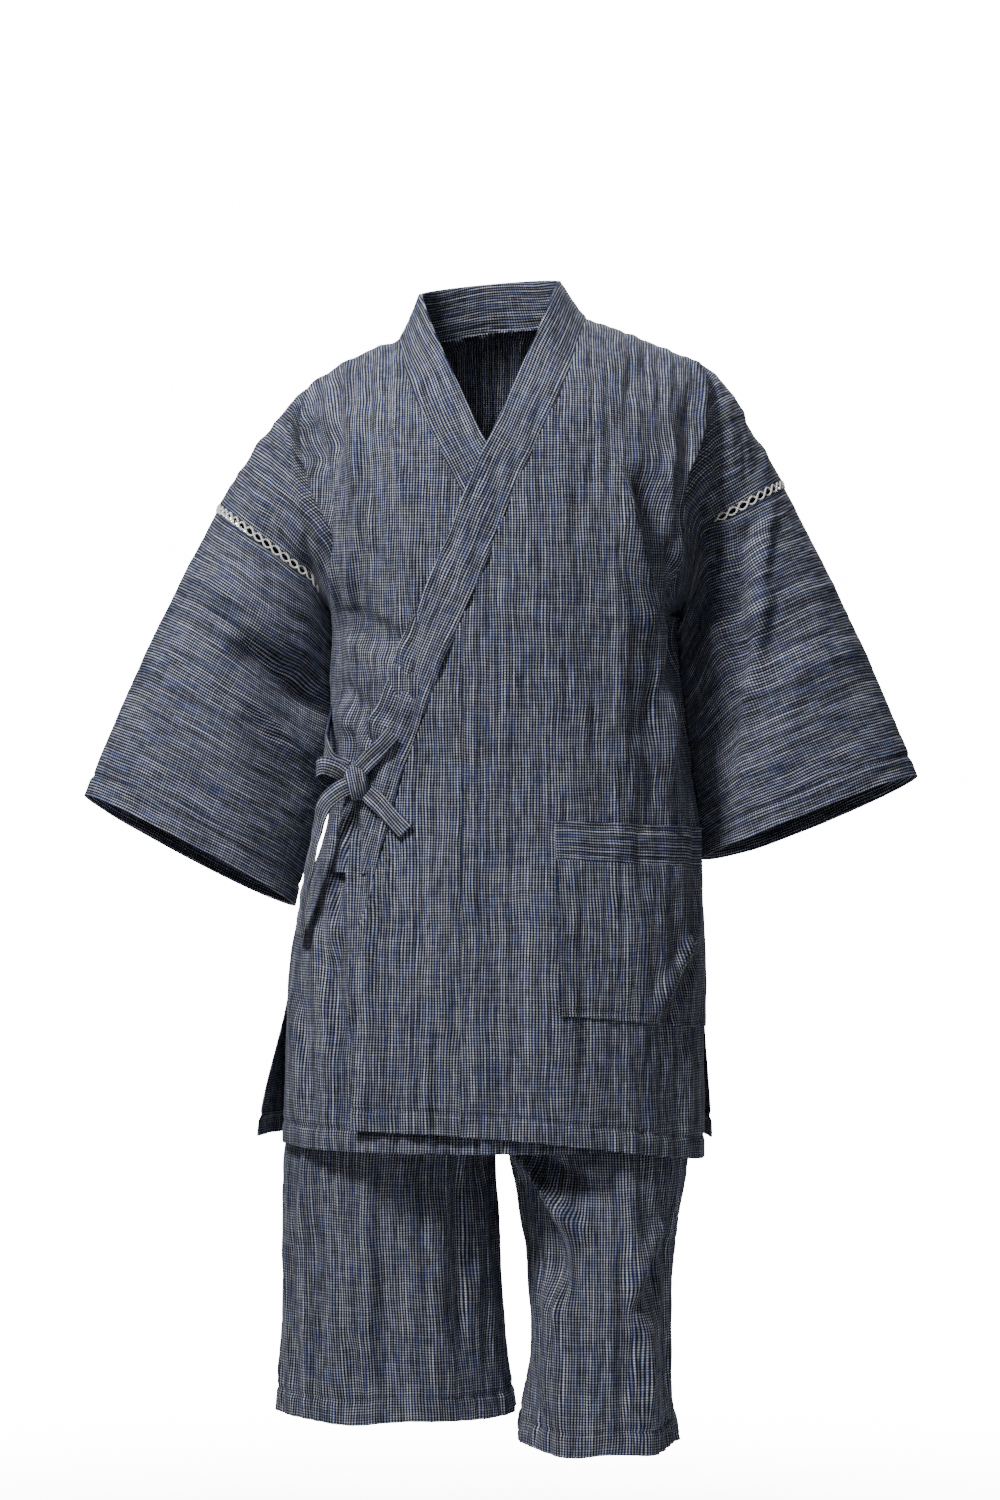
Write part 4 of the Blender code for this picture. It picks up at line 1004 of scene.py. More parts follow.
@dataclass(frozen=True)
class ElasticBand:
    """Covered elastic in a cotton casing: close ribs across the band, dull."""

    name: str = "elastic_band"
    colour: str = "1c2233"
    rib: str = "2c3550"
    pitch: float = 0.003

    def build(self) -> bpy.types.Material:
        """Make the material on the band's grain map."""
        material, tree, shader = new_material(self.name)
        grain = add_node(tree, "ShaderNodeUVMap", uv_map=GRAIN)
        parts = add_node(tree, "ShaderNodeSeparateXYZ", {0: grain})
        rib = add_node(tree, "ShaderNodeMath", {0: parts.outputs[1], 1: self.pitch}, operation="PINGPONG")
        share = add_node(tree, "ShaderNodeMapRange", {"Value": rib, "From Max": self.pitch})
        inputs = {0: share, 6: to_linear(self.colour), 7: to_linear(self.rib)}
        colour = add_node(tree, "ShaderNodeMix", inputs, data_type="RGBA")
        tree.links.new(colour.outputs[2], shader.inputs["Base Color"])
        bump = add_node(tree, "ShaderNodeBump", {"Strength": 0.6, "Distance": 0.0006, "Height": share})
        tree.links.new(bump.outputs[0], shader.inputs["Normal"])
        shader.inputs["Roughness"].default_value = 0.85
        return material


@dataclass(frozen=True)
class Finishes:
    """The finishes of the set, each made once."""

    cotton: bpy.types.Material
    ties: bpy.types.Material
    lacing: bpy.types.Material
    sewing: bpy.types.Material
    elastic: bpy.types.Material


@dataclass
class Sewing:
    """All the stitch lines as one piece: short low stitches of indigo sewing thread."""

    pitch: float = 0.0034
    length: float = 0.0021
    radius: float = 0.00028
    look_ahead: float = 0.0005
    lines: list[tuple[Array, Array, float]] = field(default_factory=list)

    def note(self, points: Array, normals: Array, stand: float) -> None:
        """Note a line of stitches.

        Args:
            points: Points along the line, on the cloth's middle surface.
            normals: Directions out of the cloth there.
            stand: How far the stitches lie above the middle surface.
        """
        self.lines.append((points, normals, stand))

    def build(self, finishes: Finishes) -> bpy.types.Object:
        """Make every stitch that was noted."""
        bm = bmesh.new()
        for points, normals, stand in self.lines:
            steps = lengths_along(points[:, None], 0)[:, 0]
            at = np.arange(self.pitch / 2, steps[-1], self.pitch)
            place = along_line(points, steps, at)
            out = unit(along_line(normals, steps, at))
            run = unit(along_line(points, steps, at + self.look_ahead) - place)
            for spot, way, up in zip(place + out * stand, run, out):
                aside = np.cross(up, way)
                matrix = Matrix([[*row] for row in np.stack(
                    [way * self.length / 2, aside * self.radius, up * self.radius], axis=1)]).to_4x4()
                matrix.translation = Vector(spot)
                bmesh.ops.create_icosphere(bm, subdivisions=1, radius=1.0, matrix=matrix)
        mesh = bpy.data.meshes.new("stitches")
        bm.to_mesh(mesh)
        bm.free()
        mesh.shade_smooth()
        mesh.materials.append(finishes.sewing)
        return settle(add_object("stitches", mesh), ())


@dataclass
class BodyPanel:
    """One body panel: up the front, over the shoulder and down the back."""

    form: JacketForm
    side: Side
    sewing: Sewing
    hem_rows: int = 18
    lower_rows: int = 96
    yoke_rows: int = 75
    chest_columns: int = 56
    arm_columns: int = 34
    hem: Hem = Hem(0.0195)
    shoulder_grain: float = 0.310
    fold_depth: float = 0.0185

    def columns(self, level: float) -> Array:
        """Column places from the inner edge to the side, with one on the armhole crease."""
        crease = self.form.crease(self.side, np.clip(level - 1.0, 0.0, 1.0))
        chest = crease * np.arange(self.chest_columns) / self.chest_columns
        return np.concatenate([chest, mix(crease, 1.0, np.arange(self.arm_columns + 1) / self.arm_columns)])

    def face_grid(self, face: Face) -> tuple[Array, Array, Array]:
        """Grid of one face from the hem to the shoulder line.

        Args:
            face: Front or back.

        Returns:
            Points, grain and hem weights, rows by columns.
        """
        form = self.form
        levels = spaced((0.0, 0.06, self.hem_rows), (0.06, 1.0, self.lower_rows), (1.0, 2.0, self.yoke_rows))
        places = np.array([self.columns(level) for level in levels])
        smooth = np.array([form.body(self.side, face, level, u) for level, u in zip(levels, places)])
        outwards = -self.side * face
        fold = self.armhole_fold(levels, places) * (1.0 if face == Face.FRONT else 0.6)
        drape = FRONT_DRAPE if face == Face.FRONT else BACK_DRAPE
        laid = Drape(drape.folds, ()).lift(smooth[..., 0], smooth[..., 2]) * (1.0 - ease(0.90, 1.0, places))
        raised = fold + laid * ease(0.55, 0.95, levels)[:, None]
        creased = smooth + normals_of(smooth, outwards) * raised[..., None]
        grain = self.grain(face, levels, places, smooth, lengths_along(creased, 1))
        points = form.dressed(self.side, smooth) if face == Face.FRONT else smooth
        lift = drape.lift(points[..., 0], points[..., 2])
        rows = levels[:, None] + 0.0 * places
        lift = lift * (1.0 - ease(0.90, 1.0, places) * ease(0.9, 1.15, rows))
        lift = lift * (1.0 - ease(0.93, 1.0, places))
        if face == Face.BACK:
            lift = lift * ease(0.0, 0.03, places)
        lift = lift * (1.0 - ease(1.90, 2.0, rows) * (1.0 - 0.3))
        flutter = HEM_FLUTTER[self.side].lift(points[..., 0], points[..., 2])
        lift = lift + flutter * (1.0 - ease(0.0, 0.30, rows)) * (1.0 - ease(0.93, 1.0, places))
        lift = lift + fold
        height = lengths_along(points, 0)
        lift = lift - self.hem.sunk(height)
        points = points + normals_of(points, outwards) * lift[..., None]
        edge = max(self.hem.row(height[:, 0]), 1)
        self.sewing.note(points[edge], normals_of(points, outwards)[edge], HEM_CLOTH / 2)
        return points, grain, self.hem.double(height)

    def armhole_fold(self, levels: Array, places: Array) -> Array:
        """Height of the fold where the chest overhangs the upper arm, for every point."""
        w = np.clip(levels - 1.0, 0.0, 1.0)[:, None]
        off = places - self.form.crease(self.side, w)
        trough = -self.fold_depth * np.exp(-((off - 0.036) / 0.024) ** 2)
        ridge = 0.30 * self.fold_depth * np.exp(-((off + 0.012) / 0.030) ** 2)
        return (trough + ridge) * ease(0.02, 0.20, w) * (1.0 - ease(0.86, 0.99, w))

    def grain(self, face: Face, levels: Array, places: Array, points: Array, run: Array) -> Array:
        """Grain of one face: upright on the chest, along the ring on the upper arm.

        Args:
            face: Front or back.
            levels: Levels of the rows.
            places: Column places of every row.
            points: The smooth points.
            run: Length along every row, with the armhole fold in it.

        Returns:
            (across, along) for every point.
        """
        torso = self.form.torso
        inner = self.shoulder_grain - 1.03 * self.side * points[:, :1, 0]
        upright = inner - run
        ring = run[:, -1:] - run
        w = np.clip(levels - 1.0, 0.0, 1.0)[:, None]
        x, z = points[..., 0], points[..., 2]
        crease = self.form.crease(self.side, w)
        share = ease(0.024, 0.040, places - crease) * ease(0.02, 0.14, w)
        across = mix(upright, ring, share)
        top = 0.8 * (1.0 - torso.crown(x, z, face)) * np.abs(torso.full(x, z, face) - torso.shoulder_y(x))
        rise = lengths_along(points[:, -1:], 0)
        along = mix(z + top, rise + z[:1, -1:], share)
        return np.stack([across, along], axis=-1)

    def build(self, finishes: Finishes) -> bpy.types.Object:
        name = self.side.named("body")
        front, front_grain, front_hem = self.face_grid(Face.FRONT)
        back, back_grain, back_hem = self.face_grid(Face.BACK)
        points = np.concatenate([front, back[-2::-1]])
        grain = np.concatenate([front_grain, back_grain[-2::-1]])
        hem = np.concatenate([front_hem, back_hem[-2::-1]])
        grid = ClothGrid(name + "_cloth", points, grain, int(self.side), False, hem)
        piece = settle(grid.build(CLOTH, finishes.cotton), (name,))
        LOG.info("%s area %.3f", name, grid.area())
        return piece


@dataclass
class Gore:
    """The narrow front gore between a body panel and the front edge."""

    form: JacketForm
    side: Side
    sewing: Sewing
    hem_rows: int = 18
    rows: int = 92
    columns: int = 26
    top: float = 0.998
    hem: Hem = Hem(0.0195)

    def build(self, finishes: Finishes) -> bpy.types.Object:
        form = self.form
        levels = spaced((0.0, 0.06, self.hem_rows), (0.06, self.top, self.rows))[:, None]
        share = np.linspace(1.0, 0.0, self.columns + 1)[None, :]
        points = form.gore(self.side, levels + 0.0 * share, share + 0.0 * levels)
        x, z = points[..., 0], points[..., 2]
        seam_x = mix(*form.GORE_SEAM[self.side], levels)
        grain = np.stack([np.abs(x - seam_x), z + 0.0 * x], axis=-1)
        lift = FRONT_DRAPE.lift(x, z)
        flutter = HEM_FLUTTER[self.side].lift(x, z)
        lift = lift + flutter * (1.0 - ease(0.0, 0.30, levels))
        height = lengths_along(points, 0)
        below = 1.0 - ease(COLLAR_END_Z, COLLAR_END_Z + 0.01, z)
        facing = (1.0 - ease(0.012, 0.016, (1.0 - share) * np.abs(points[:, :1, 0] - seam_x))) * below
        lift = lift - self.hem.sunk(height)
        outwards = int(self.side)
        points = points + normals_of(points, outwards) * lift[..., None]
        name = self.side.named("overlap")
        double = np.maximum(self.hem.double(height), facing)
        grid = ClothGrid(name + "_cloth", points, grain, outwards, False, double)
        edge = self.hem.row(height[:, 0])
        self.sewing.note(points[edge], grid.normals()[edge], HEM_CLOTH / 2)
        piece = settle(grid.build(CLOTH, finishes.cotton), (name,))
        LOG.info("%s area %.3f", name, grid.area())
        return piece


@dataclass
class CollarBand:
    """The straight collar band, from the left front's edge round the neck to the right front's edge."""

    form: JacketForm
    sewing: Sewing
    columns: int = 12
    gore_rows: int = 52
    chest_rows: int = 66
    neck_rows: int = 26

    def chest_rows_of(self, side: Side, start: Array, base: Array) -> Array:
        """Rows across the collar on the chest, from its seam to its free edge.

        Args:
            side: The wearer's side.
            start: Points of the seam.
            base: Points of the seam where the band begins to stand up.

        Returns:
            Rows by columns of points.
        """
        form = self.form
        seam = form.COLLAR_SEAM[side]
        z = start[:, 2]
        slope = (seam(z + 0.010) - seam(z - 0.010)) / 0.020 * ease(COLLAR_END_Z, COLLAR_END_Z + 0.050, z)
        flat = unit(np.stack([np.full(len(z), -float(side)), np.abs(slope)], axis=-1))
        share = np.linspace(0.0, 1.0, self.columns + 1)[None, :]
        x = start[:, :1] + flat[:, :1] * form.collar_width * share
        height = start[:, 2:] + flat[:, 1:] * form.collar_width * share
        lying = form.dressed(side, stack(x, form.torso.depth(x, height, Face.FRONT), height))
        neck = np.array(form.COLLAR_TOP[side]) - form.edge(side, Face.FRONT, np.ones(()))
        stand = ease(-0.085, seam.knots[-1], z)[:, None, None]
        standing = base[:, None, :] + neck * share[..., None]
        return lying + (standing - lying) * stand

    def side_rows(self, side: Side) -> Array:
        """Rows of one half of the collar, from its lower end up to the centre back."""
        form = self.form
        levels = np.linspace(form.collar_end, form.gore_tip, self.gore_rows + 1)
        start = form.gore(side, levels, np.ones_like(levels))
        rows = [self.chest_rows_of(side, start, start)]
        w = np.linspace(0.0, 1.0, self.chest_rows + 1)
        inner = form.edge(side, Face.FRONT, w)
        first = form.yoke(side, Face.FRONT, w, np.zeros_like(w))
        rows.append(self.chest_rows_of(side, form.dressed(side, first), inner))
        t = np.linspace(0.0, 1.0, self.neck_rows + 1)[1:]
        begin = form.neck(side, t)
        turn = ((1.0 - side * np.cos(math.pi / 2 * t)) / 2)[:, None]
        left, right = np.array(form.COLLAR_TOP[Side.LEFT]), np.array(form.COLLAR_TOP[Side.RIGHT])
        top = left + (right - left) * turn
        top[:, 1] += form.collar_top_depth * np.sin(math.pi / 2 * t)
        top[:, 2] += form.collar_top_rise * np.sin(math.pi / 2 * t)
        share = np.linspace(0.0, 1.0, self.columns + 1)[None, :, None]
        rows.append(begin[:, None, :] + (top - begin)[:, None, :] * share)
        found = np.concatenate(rows)
        across = found[:, 1] - found[:, 0]
        found[:, 0] = found[:, 0] - unit(across) * 0.0018
        return found

    def build(self, finishes: Finishes) -> bpy.types.Object:
        left, right = self.side_rows(Side.LEFT), self.side_rows(Side.RIGHT)
        points = np.concatenate([left, right[-2::-1]])
        x, z = points[..., 0], points[..., 2]
        width = lengths_along(points, 1)
        length = lengths_along(points, 0)[:, 6:7] + 0.0 * width
        lift = FRONT_DRAPE.lift(x, z) * (1.0 - ease(-0.12, -0.02, z)) * 0.9
        lift = lift + Ripple(0.011, 0.9, 0.00022, 51).lift(width, length)
        share = np.linspace(0.0, 1.0, self.columns + 1)[None, :]
        lift = lift + 0.0007 * np.sin(math.pi * share) - 0.0006 * np.exp(-((share - 0.07) / 0.06) ** 2)
        lift = lift + 0.0030 * (1.0 - ease(COLLAR_END_Z + 0.002, COLLAR_END_Z + 0.035, z)) * (x < 0.0)
        grain = np.stack([width + 0.0007, length], axis=-1)
        normals = normals_of(points, 1)
        points = points + normals * lift[..., None]
        grid = ClothGrid("collar_cloth", points, grain, 1)
        self.sewing.note(points[:, 1], grid.normals()[:, 1], BAND_CLOTH / 2)
        piece = settle(grid.build(BAND_CLOTH, finishes.cotton), ("collar",))
        LOG.info("collar area %.3f", grid.area())
        return piece


@dataclass
class Sleeve:
    """One wide sleeve: a tube from the lacing to the cuff."""

    form: JacketForm
    side: Side
    sewing: Sewing
    rows: int = 76
    hem_rows: int = 16
    half_columns: int = 58
    hem: Hem = Hem(0.020)

    LEFT_DRAPE = Drape(
        folds=(
            Fold((0.262, -0.150), (0.246, -0.300), 0.0040, 0.008, 0.004, 0.4),
            Fold((0.245, -0.160), (0.224, -0.300), -0.0045, 0.011, 0.004),
            Fold((0.224, -0.200), (0.206, -0.330), 0.0035, 0.010, 0.004),
            Fold((0.262, -0.230), (0.232, -0.400), 0.0040, 0.010, 0.006, 0.5),
            Fold((0.240, -0.270), (0.214, -0.420), -0.0075, 0.012, 0.004),
            Fold((0.290, -0.300), (0.262, -0.440), 0.0024, 0.014, 0.005),
            Fold((0.300, -0.240), (0.316, -0.380), 0.0012, 0.014, 0.004),
        ),
        ripples=(Ripple(0.060, 0.30, 0.0007, 61), Ripple(0.020, 0.10, 0.0004, 62),
                 Ripple(0.009, 0.05, 0.0002, 63)),
    )
    RIGHT_DRAPE = Drape(
        folds=(
            Fold((-0.268, -0.232), (-0.165, -0.325), 0.0052, 0.016, -0.004),
            Fold((-0.246, -0.290), (-0.156, -0.368), -0.0100, 0.017, -0.004, 0.4),
            Fold((-0.262, -0.330), (-0.175, -0.430), -0.0040, 0.014, -0.006),
            Fold((-0.250, -0.330), (-0.176, -0.420), 0.0045, 0.012, -0.008, 0.4),
            Fold((-0.232, -0.350), (-0.180, -0.450), -0.0035, 0.010, -0.006),
            Fold((-0.210, -0.225), (-0.160, -0.300), 0.0030, 0.011, -0.005),
            Fold((-0.225, -0.300), (-0.158, -0.360), -0.0020, 0.008, -0.004),
            Fold((-0.270, -0.400), (-0.255, -0.510), -0.0024, 0.016, 0.004),
        ),
        ripples=(Ripple(0.060, 0.30, 0.0007, 66), Ripple(0.020, 0.10, 0.0004, 67),
                 Ripple(0.009, 0.05, 0.0002, 68)),
    )

    def tucked(self, points: Array, w: Array, t: Array) -> Array:
        """Lay the sleeve's inner side against the side of the body.

        Args:
            points: The sleeve's smooth points.
            w: Place of every column, 0 at the armpit and 1 on the shoulder.
            t: Place of every row, 0 at the lacing and 1 at the cuff.

        Returns:
            The moved points, none of them inside the body.
        """
        torso = self.form.torso
        hold = 1.0 - ease(0.0, 0.36, w)
        if self.side == Side.LEFT:
            reach = mix(0.020 * ease(-0.04, 0.20, t), 0.011, ease(0.60, 1.0, t))
        else:
            reach = mix(0.014 * ease(-0.04, 0.20, t), 0.0, ease(0.45, 1.0, t))
        moved = points.copy()
        moved[..., 0] -= self.side * reach * hold
        moved[..., 1] += 0.024 * ease(-0.02, 0.22, t) * (1.0 - ease(0.0, 0.50, w))
        x, y, z = moved[..., 0], moved[..., 1], moved[..., 2]
        inside = (np.abs(torso.across(x, z)) < 1.0) & (z < ARMPIT_Z)
        behind = torso.full(x, z, Face.BACK) + 0.0025
        moved[..., 1] = np.where(inside & (y < behind), behind, y)
        return moved

    def build(self, finishes: Finishes) -> bpy.types.Object:
        form = self.form
        w = np.linspace(0.0, 1.0, self.half_columns + 1)
        t = spaced((0.0, 0.90, self.rows), (0.90, 1.0, self.hem_rows))[:, None]
        front = form.sleeve(self.side, Face.FRONT, w[None, :] + 0.0 * t, t + 0.0 * w[None, :])
        down = w[-2:1:-1]
        back = form.sleeve(self.side, Face.BACK, down[None, :] + 0.0 * t, t + 0.0 * down[None, :])
        points = np.concatenate([front, back, front[:, :1]], axis=1)
        ring_share = np.concatenate([w, down, w[:1]])[None, :]
        points = self.tucked(points, ring_share, t)
        around = lengths_along(points, 1)
        girth = around / around[:, -1:]
        length = lengths_along(points, 0)
        mean = float(length[-1].mean())
        grain = np.stack([t * mean + 0.0 * girth, girth * float(around[:, -1].mean())], axis=-1)
        x, z = points[..., 0], points[..., 2]
        drape = self.LEFT_DRAPE if self.side == Side.LEFT else self.RIGHT_DRAPE
        is_front = np.zeros_like(x)
        is_front[:, :self.half_columns + 1] = np.sin(math.pi * w)[None, :] ** 0.5
        folds = Drape(drape.folds, ()).lift(x, z) * is_front
        loose = Drape((), drape.ripples).lift(t * mean, grain[..., 1])
        seam = ease(0.0, 0.05, girth) * (1.0 - ease(0.95, 1.0, girth))
        lift = (folds + loose * (1.0 - 0.75 * ease(0.70, 0.95, ring_share))) * ease(0.0, 0.10, t) * seam
        low = length[-1:, :] - length
        lift = lift - self.hem.sunk(low)
        outwards = -int(self.side)
        points = points + normals_of(points, outwards) * lift[..., None]
        points[:, -1] = points[:, 0]
        name = self.side.named("sleeve")
        grid = ClothGrid(name + "_cloth", points, grain, outwards, True, self.hem.double(low))
        edge = self.hem.row(low[:, 20])
        self.sewing.note(points[edge], grid.normals()[edge], HEM_CLOTH / 2)
        piece = settle(grid.build(CLOTH, finishes.cotton), (name,))
        LOG.info("%s area %.3f", name, grid.area())
        self.side.named("lacing")
        return piece


def new_cord(name: str, radius: float) -> bpy.types.Curve:
    """Start a curve that is drawn as a round cord."""
    curve = bpy.data.curves.new(name, "CURVE")
    curve.dimensions = "3D"
    curve.bevel_depth = radius
    curve.bevel_resolution = 1
    return curve


@dataclass
class Lacing:
    """The open lacing of one sleeve: two twisted cords that cross over the gap again and again."""

    form: JacketForm
    side: Side
    turns: int = 22
    samples: int = 900
    strand: float = 0.00054
    twist: float = 0.0044

    def centre_line(self, phase: float) -> Array:
        """Points along one cord's middle.

        Args:
            phase: 0 or pi, which edge it starts from.

        Returns:
            Points of a closed line.
        """
        form = self.form
        w = np.linspace(0.0, 1.0, 120)
        loop = [(Face.FRONT, w), (Face.BACK, w[-2:0:-1])]
        panel = np.concatenate([form.ring(self.side, face, part) for face, part in loop])
        panel = np.concatenate([panel, panel[:1]])
        steps = lengths_along(panel[:, None], 0)[:, 0]
        share = np.linspace(0.0, 1.0, self.samples, endpoint=False)
        at = share * steps[-1]
        base = along_line(panel, steps, at)
        place = np.concatenate([w, w[-2:0:-1], w[:1]])
        gap = form.gap(self.side, np.interp(at, steps, place))
        axis = form.sleeve_axis(self.side)
        out = base - panel.mean(axis=0)
        out = unit(out - axis * (out @ axis)[:, None])
        swing = 2.0 * math.pi * self.turns * share + phase
        chance = Ripple(0.05, 1.0, 0.00018, 71 + int(phase)).lift(at, 0.0 * at)
        reach = gap * (0.5 + 0.56 * np.cos(swing) * (1.0 - 0.12 * np.cos(swing) ** 2))
        over = 0.00075 * np.sin(swing) + 0.0003
        inward = 0.0026 * (1.0 - ease(0.3, 0.8, gap / form.lacing_gap))
        return base + axis * (reach + chance)[:, None] + out * (over - inward)[:, None]

    def build(self, finishes: Finishes) -> bpy.types.Object:
        """Make the lacing: each cord is two strands wound round each other."""
        name = self.side.named("lacing")
        curve = new_cord(name, self.strand)
        for phase in (0.0, math.pi):
            line = self.centre_line(phase)
            run = unit(np.roll(line, -1, axis=0) - np.roll(line, 1, axis=0))
            first = unit(np.cross(run, self.form.sleeve_axis(self.side)))
            second = np.cross(run, first)
            along = np.cumsum(np.linalg.norm(np.roll(line, -1, axis=0) - line, axis=1))
            turns = round(along[-1] / self.twist)
            for half in (0.0, math.pi):
                angle = 2.0 * math.pi * turns * along / along[-1] + half
                wound = first * np.cos(angle)[:, None] + second * np.sin(angle)[:, None]
                add_spline(curve, line + wound * self.strand, True)
        curve.materials.append(finishes.lacing)
        return settle(add_object(name, curve), (name + "_outer", name + "_inner"))


def add_spline(curve: bpy.types.Curve, points: Array, cyclic: bool) -> None:
    """Add a line of points to a curve.

    Args:
        curve: The curve.
        points: Points along the line.
        cyclic: True for a closed line.
    """
    spline = curve.splines.new("POLY")
    spline.points.add(len(points) - 1)
    spline.points.foreach_set("co", np.concatenate([points, np.ones((len(points), 1))], axis=1).ravel())
    spline.use_cyclic_u = cyclic


@dataclass
class SlitThreads:
    """Short zigzag of thread over the side seam, just above the slit."""

    form: JacketForm
    side: Side
    stitches: int = 5
    pitch: float = 0.006
    half_width: float = 0.0025
    strand: float = 0.0004

    def build(self, finishes: Finishes) -> bpy.types.Object:
        """Make the threads of one slit."""
        torso = self.form.torso
        seam_x = torso.left if self.side == Side.LEFT else torso.right
        k = np.linspace(0.0, self.stitches - 1.0, 60)
        z = SLIT_Z + 0.010 + k * self.pitch
        sway = self.half_width * (2.0 * np.abs((k + 1.0) % 2.0 - 1.0) - 1.0)
        x = seam_x(z) + self.side * (CLOTH / 2 + SEAM + 0.0010)
        line = stack(x, torso.side(z) + sway, z)
        name = self.side.named("slit_thread")
        curve = new_cord(name + "_twist", self.strand)
        curve.use_fill_caps = True
        for half in (0.0, math.pi):
            angle = k * 6.0 + half
            wound = stack(np.sin(angle), 0.0, np.cos(angle))
            add_spline(curve, line + wound * self.strand, False)
        curve.materials.append(finishes.lacing)
        return settle(add_object(name + "_twist", curve), (name,))


@dataclass
class Pocket:
    """The patch pocket on the left front: a bag with upright grain under a band with its grain across.

    Attributes:
        panel: The body panel that carries it.
        bag_rows: Rows of the bag.
        band_rows: Rows of the band.
        columns: Columns of both.
        inner_share: Share of the chest's width that lies inside its inner edge.
        outer_share: Share of the width beyond the crease that it reaches over.
        level_height: Height of the panel from hem to armpit, which one level spans.
        gape: How far the band's upper edge stands off.
    """

    panel: BodyPanel
    bag_rows: int = 56
    band_rows: int = 20
    columns: int = 64
    inner_share: float = 0.25
    outer_share: float = 0.6
    level_height: float = 0.47
    gape: float = 0.0030

    def place(self, levels: Array, thickness: float) -> tuple[Array, Array]:
        """Points of the pocket between its side edges.

        Args:
            levels: Levels of the rows.
            thickness: Thickness of the pocket's cloth.

        Returns:
            Points of the pocket, and the same points before the folds.
        """
        form = self.panel.form
        crease = form.crease_foot
        first = crease * self.inner_share
        last = mix(crease, 1.0, self.outer_share)
        u = np.linspace(last, first, self.columns + 1)
        smooth = np.array([form.body(Side.LEFT, Face.FRONT, float(level), u) for level in levels])
        points = form.dressed(Side.LEFT, smooth)
        normals = normals_of(points, -1)
        lift = FRONT_DRAPE.lift(points[..., 0], points[..., 2]) * (1.0 - ease(0.93, 1.0, u))[None, :]
        return points + normals * (lift + (CLOTH + thickness) / 2 + 0.0006)[..., None], points

    def build(self, finishes: Finishes) -> list[bpy.types.Object]:
        form = self.panel.form
        edge = SEAM / 2 / self.level_height
        pieces = []
        for name, low, high, rows, wall in (
                ("pocket_bag", form.pocket_foot, form.pocket_split - edge, self.bag_rows, CLOTH),
                ("pocket_band", form.pocket_split + edge, form.pocket_top, self.band_rows,
                 POCKET_BAND_CLOTH)):
            points, smooth = self.place(np.linspace(low, high, rows + 1), wall)
            width = lengths_along(smooth, 1)
            height = lengths_along(smooth, 0)
            around = np.minimum(width, width[:, -1:] - width)
            if name == "pocket_bag":
                around = np.minimum(around, height)
                grain = np.stack([width + 0.021, points[..., 2]], axis=-1)
            else:
                around = np.minimum(around, np.minimum(height, height[-1:] - height))
                grain = np.stack([height + 0.3, width], axis=-1)
            normals = normals_of(points, -1)
            stand = 0.0012 * ease(0.0, 0.02, around) - 0.0008 * np.exp(-((around - 0.0055) / 0.002) ** 2)
            middle = np.sin(math.pi * width / width[:, -1:])
            climb = (points[..., 2] - points[0, :, 2]) / 0.04
            if name == "pocket_band":
                stand = stand + self.gape * middle ** 2 * climb
            else:
                stand = stand + 0.0016 * middle * np.sin(math.pi * height / height[-1:])
            points = points + normals * stand[..., None]
            grid = ClothGrid(name + "_cloth", points, grain, -1, False, 1.0 - ease(0.004, 0.006, around))
            step = 3
            loop = np.concatenate([points[::-1, step], points[step, 1:], points[:, -1 - step]])
            out = np.concatenate([normals[::-1, step], normals[step, 1:], normals[:, -1 - step]])
            self.panel.sewing.note(loop, out, wall / 2)
            piece = settle(grid.build(wall, finishes.cotton), (name,))
            LOG.info("%s area %.4f", name, grid.area())
            pieces.append(piece)
        return pieces


TIE_STATIONS = {
    "bow_end_upper": ((-0.1215, -0.1080, -0.0990, -0.0905), (-0.0975, -0.1060, -0.1125, -0.1170),
                      (-0.4125, -0.3985, -0.3890, -0.3790), (10, 8, 6, 6)),
    "bow_end_lower": ((-0.1142, -0.1020, -0.0900, -0.0790), (-0.0985, -0.1060, -0.1130, -0.1185),
                      (-0.4335, -0.4450, -0.4575, -0.4690), (12, 10, 8, 6)),
    "bow_loop": ((-0.1330, -0.1430, -0.1530, -0.1590, -0.1590, -0.1530, -0.1440, -0.1380),
                 (-0.0950, -0.0990, -0.1005, -0.0970, -0.0910, -0.0875, -0.0870, -0.0870),
                 (-0.4190, -0.4120, -0.4090, -0.4110, -0.4150, -0.4210, -0.4245, -0.4250),
                 (5, 12, 35, 75, 118, 150, 165, 170)),
    "bow_tail": ((-0.1310, -0.1425, -0.1540, -0.1600, -0.1682, -0.1742, -0.1768),
                 (-0.0995, -0.1000, -0.0975, -0.0930, -0.0870, -0.0780, -0.0740),
                 (-0.4270, -0.4335, -0.4455, -0.4673, -0.5035, -0.5400, -0.5660),
                 (5, 14, 36, 56, 62, 60, 56)),
    "tie_side": ((-0.1490, -0.1515, -0.1540, -0.1500, -0.1330), (0.0050, -0.0220, -0.0480, -0.0740, -0.0930),
                 (-0.3520, -0.3660, -0.3850, -0.4020, -0.4130), (90, 86, 72, 50, 25)),
}


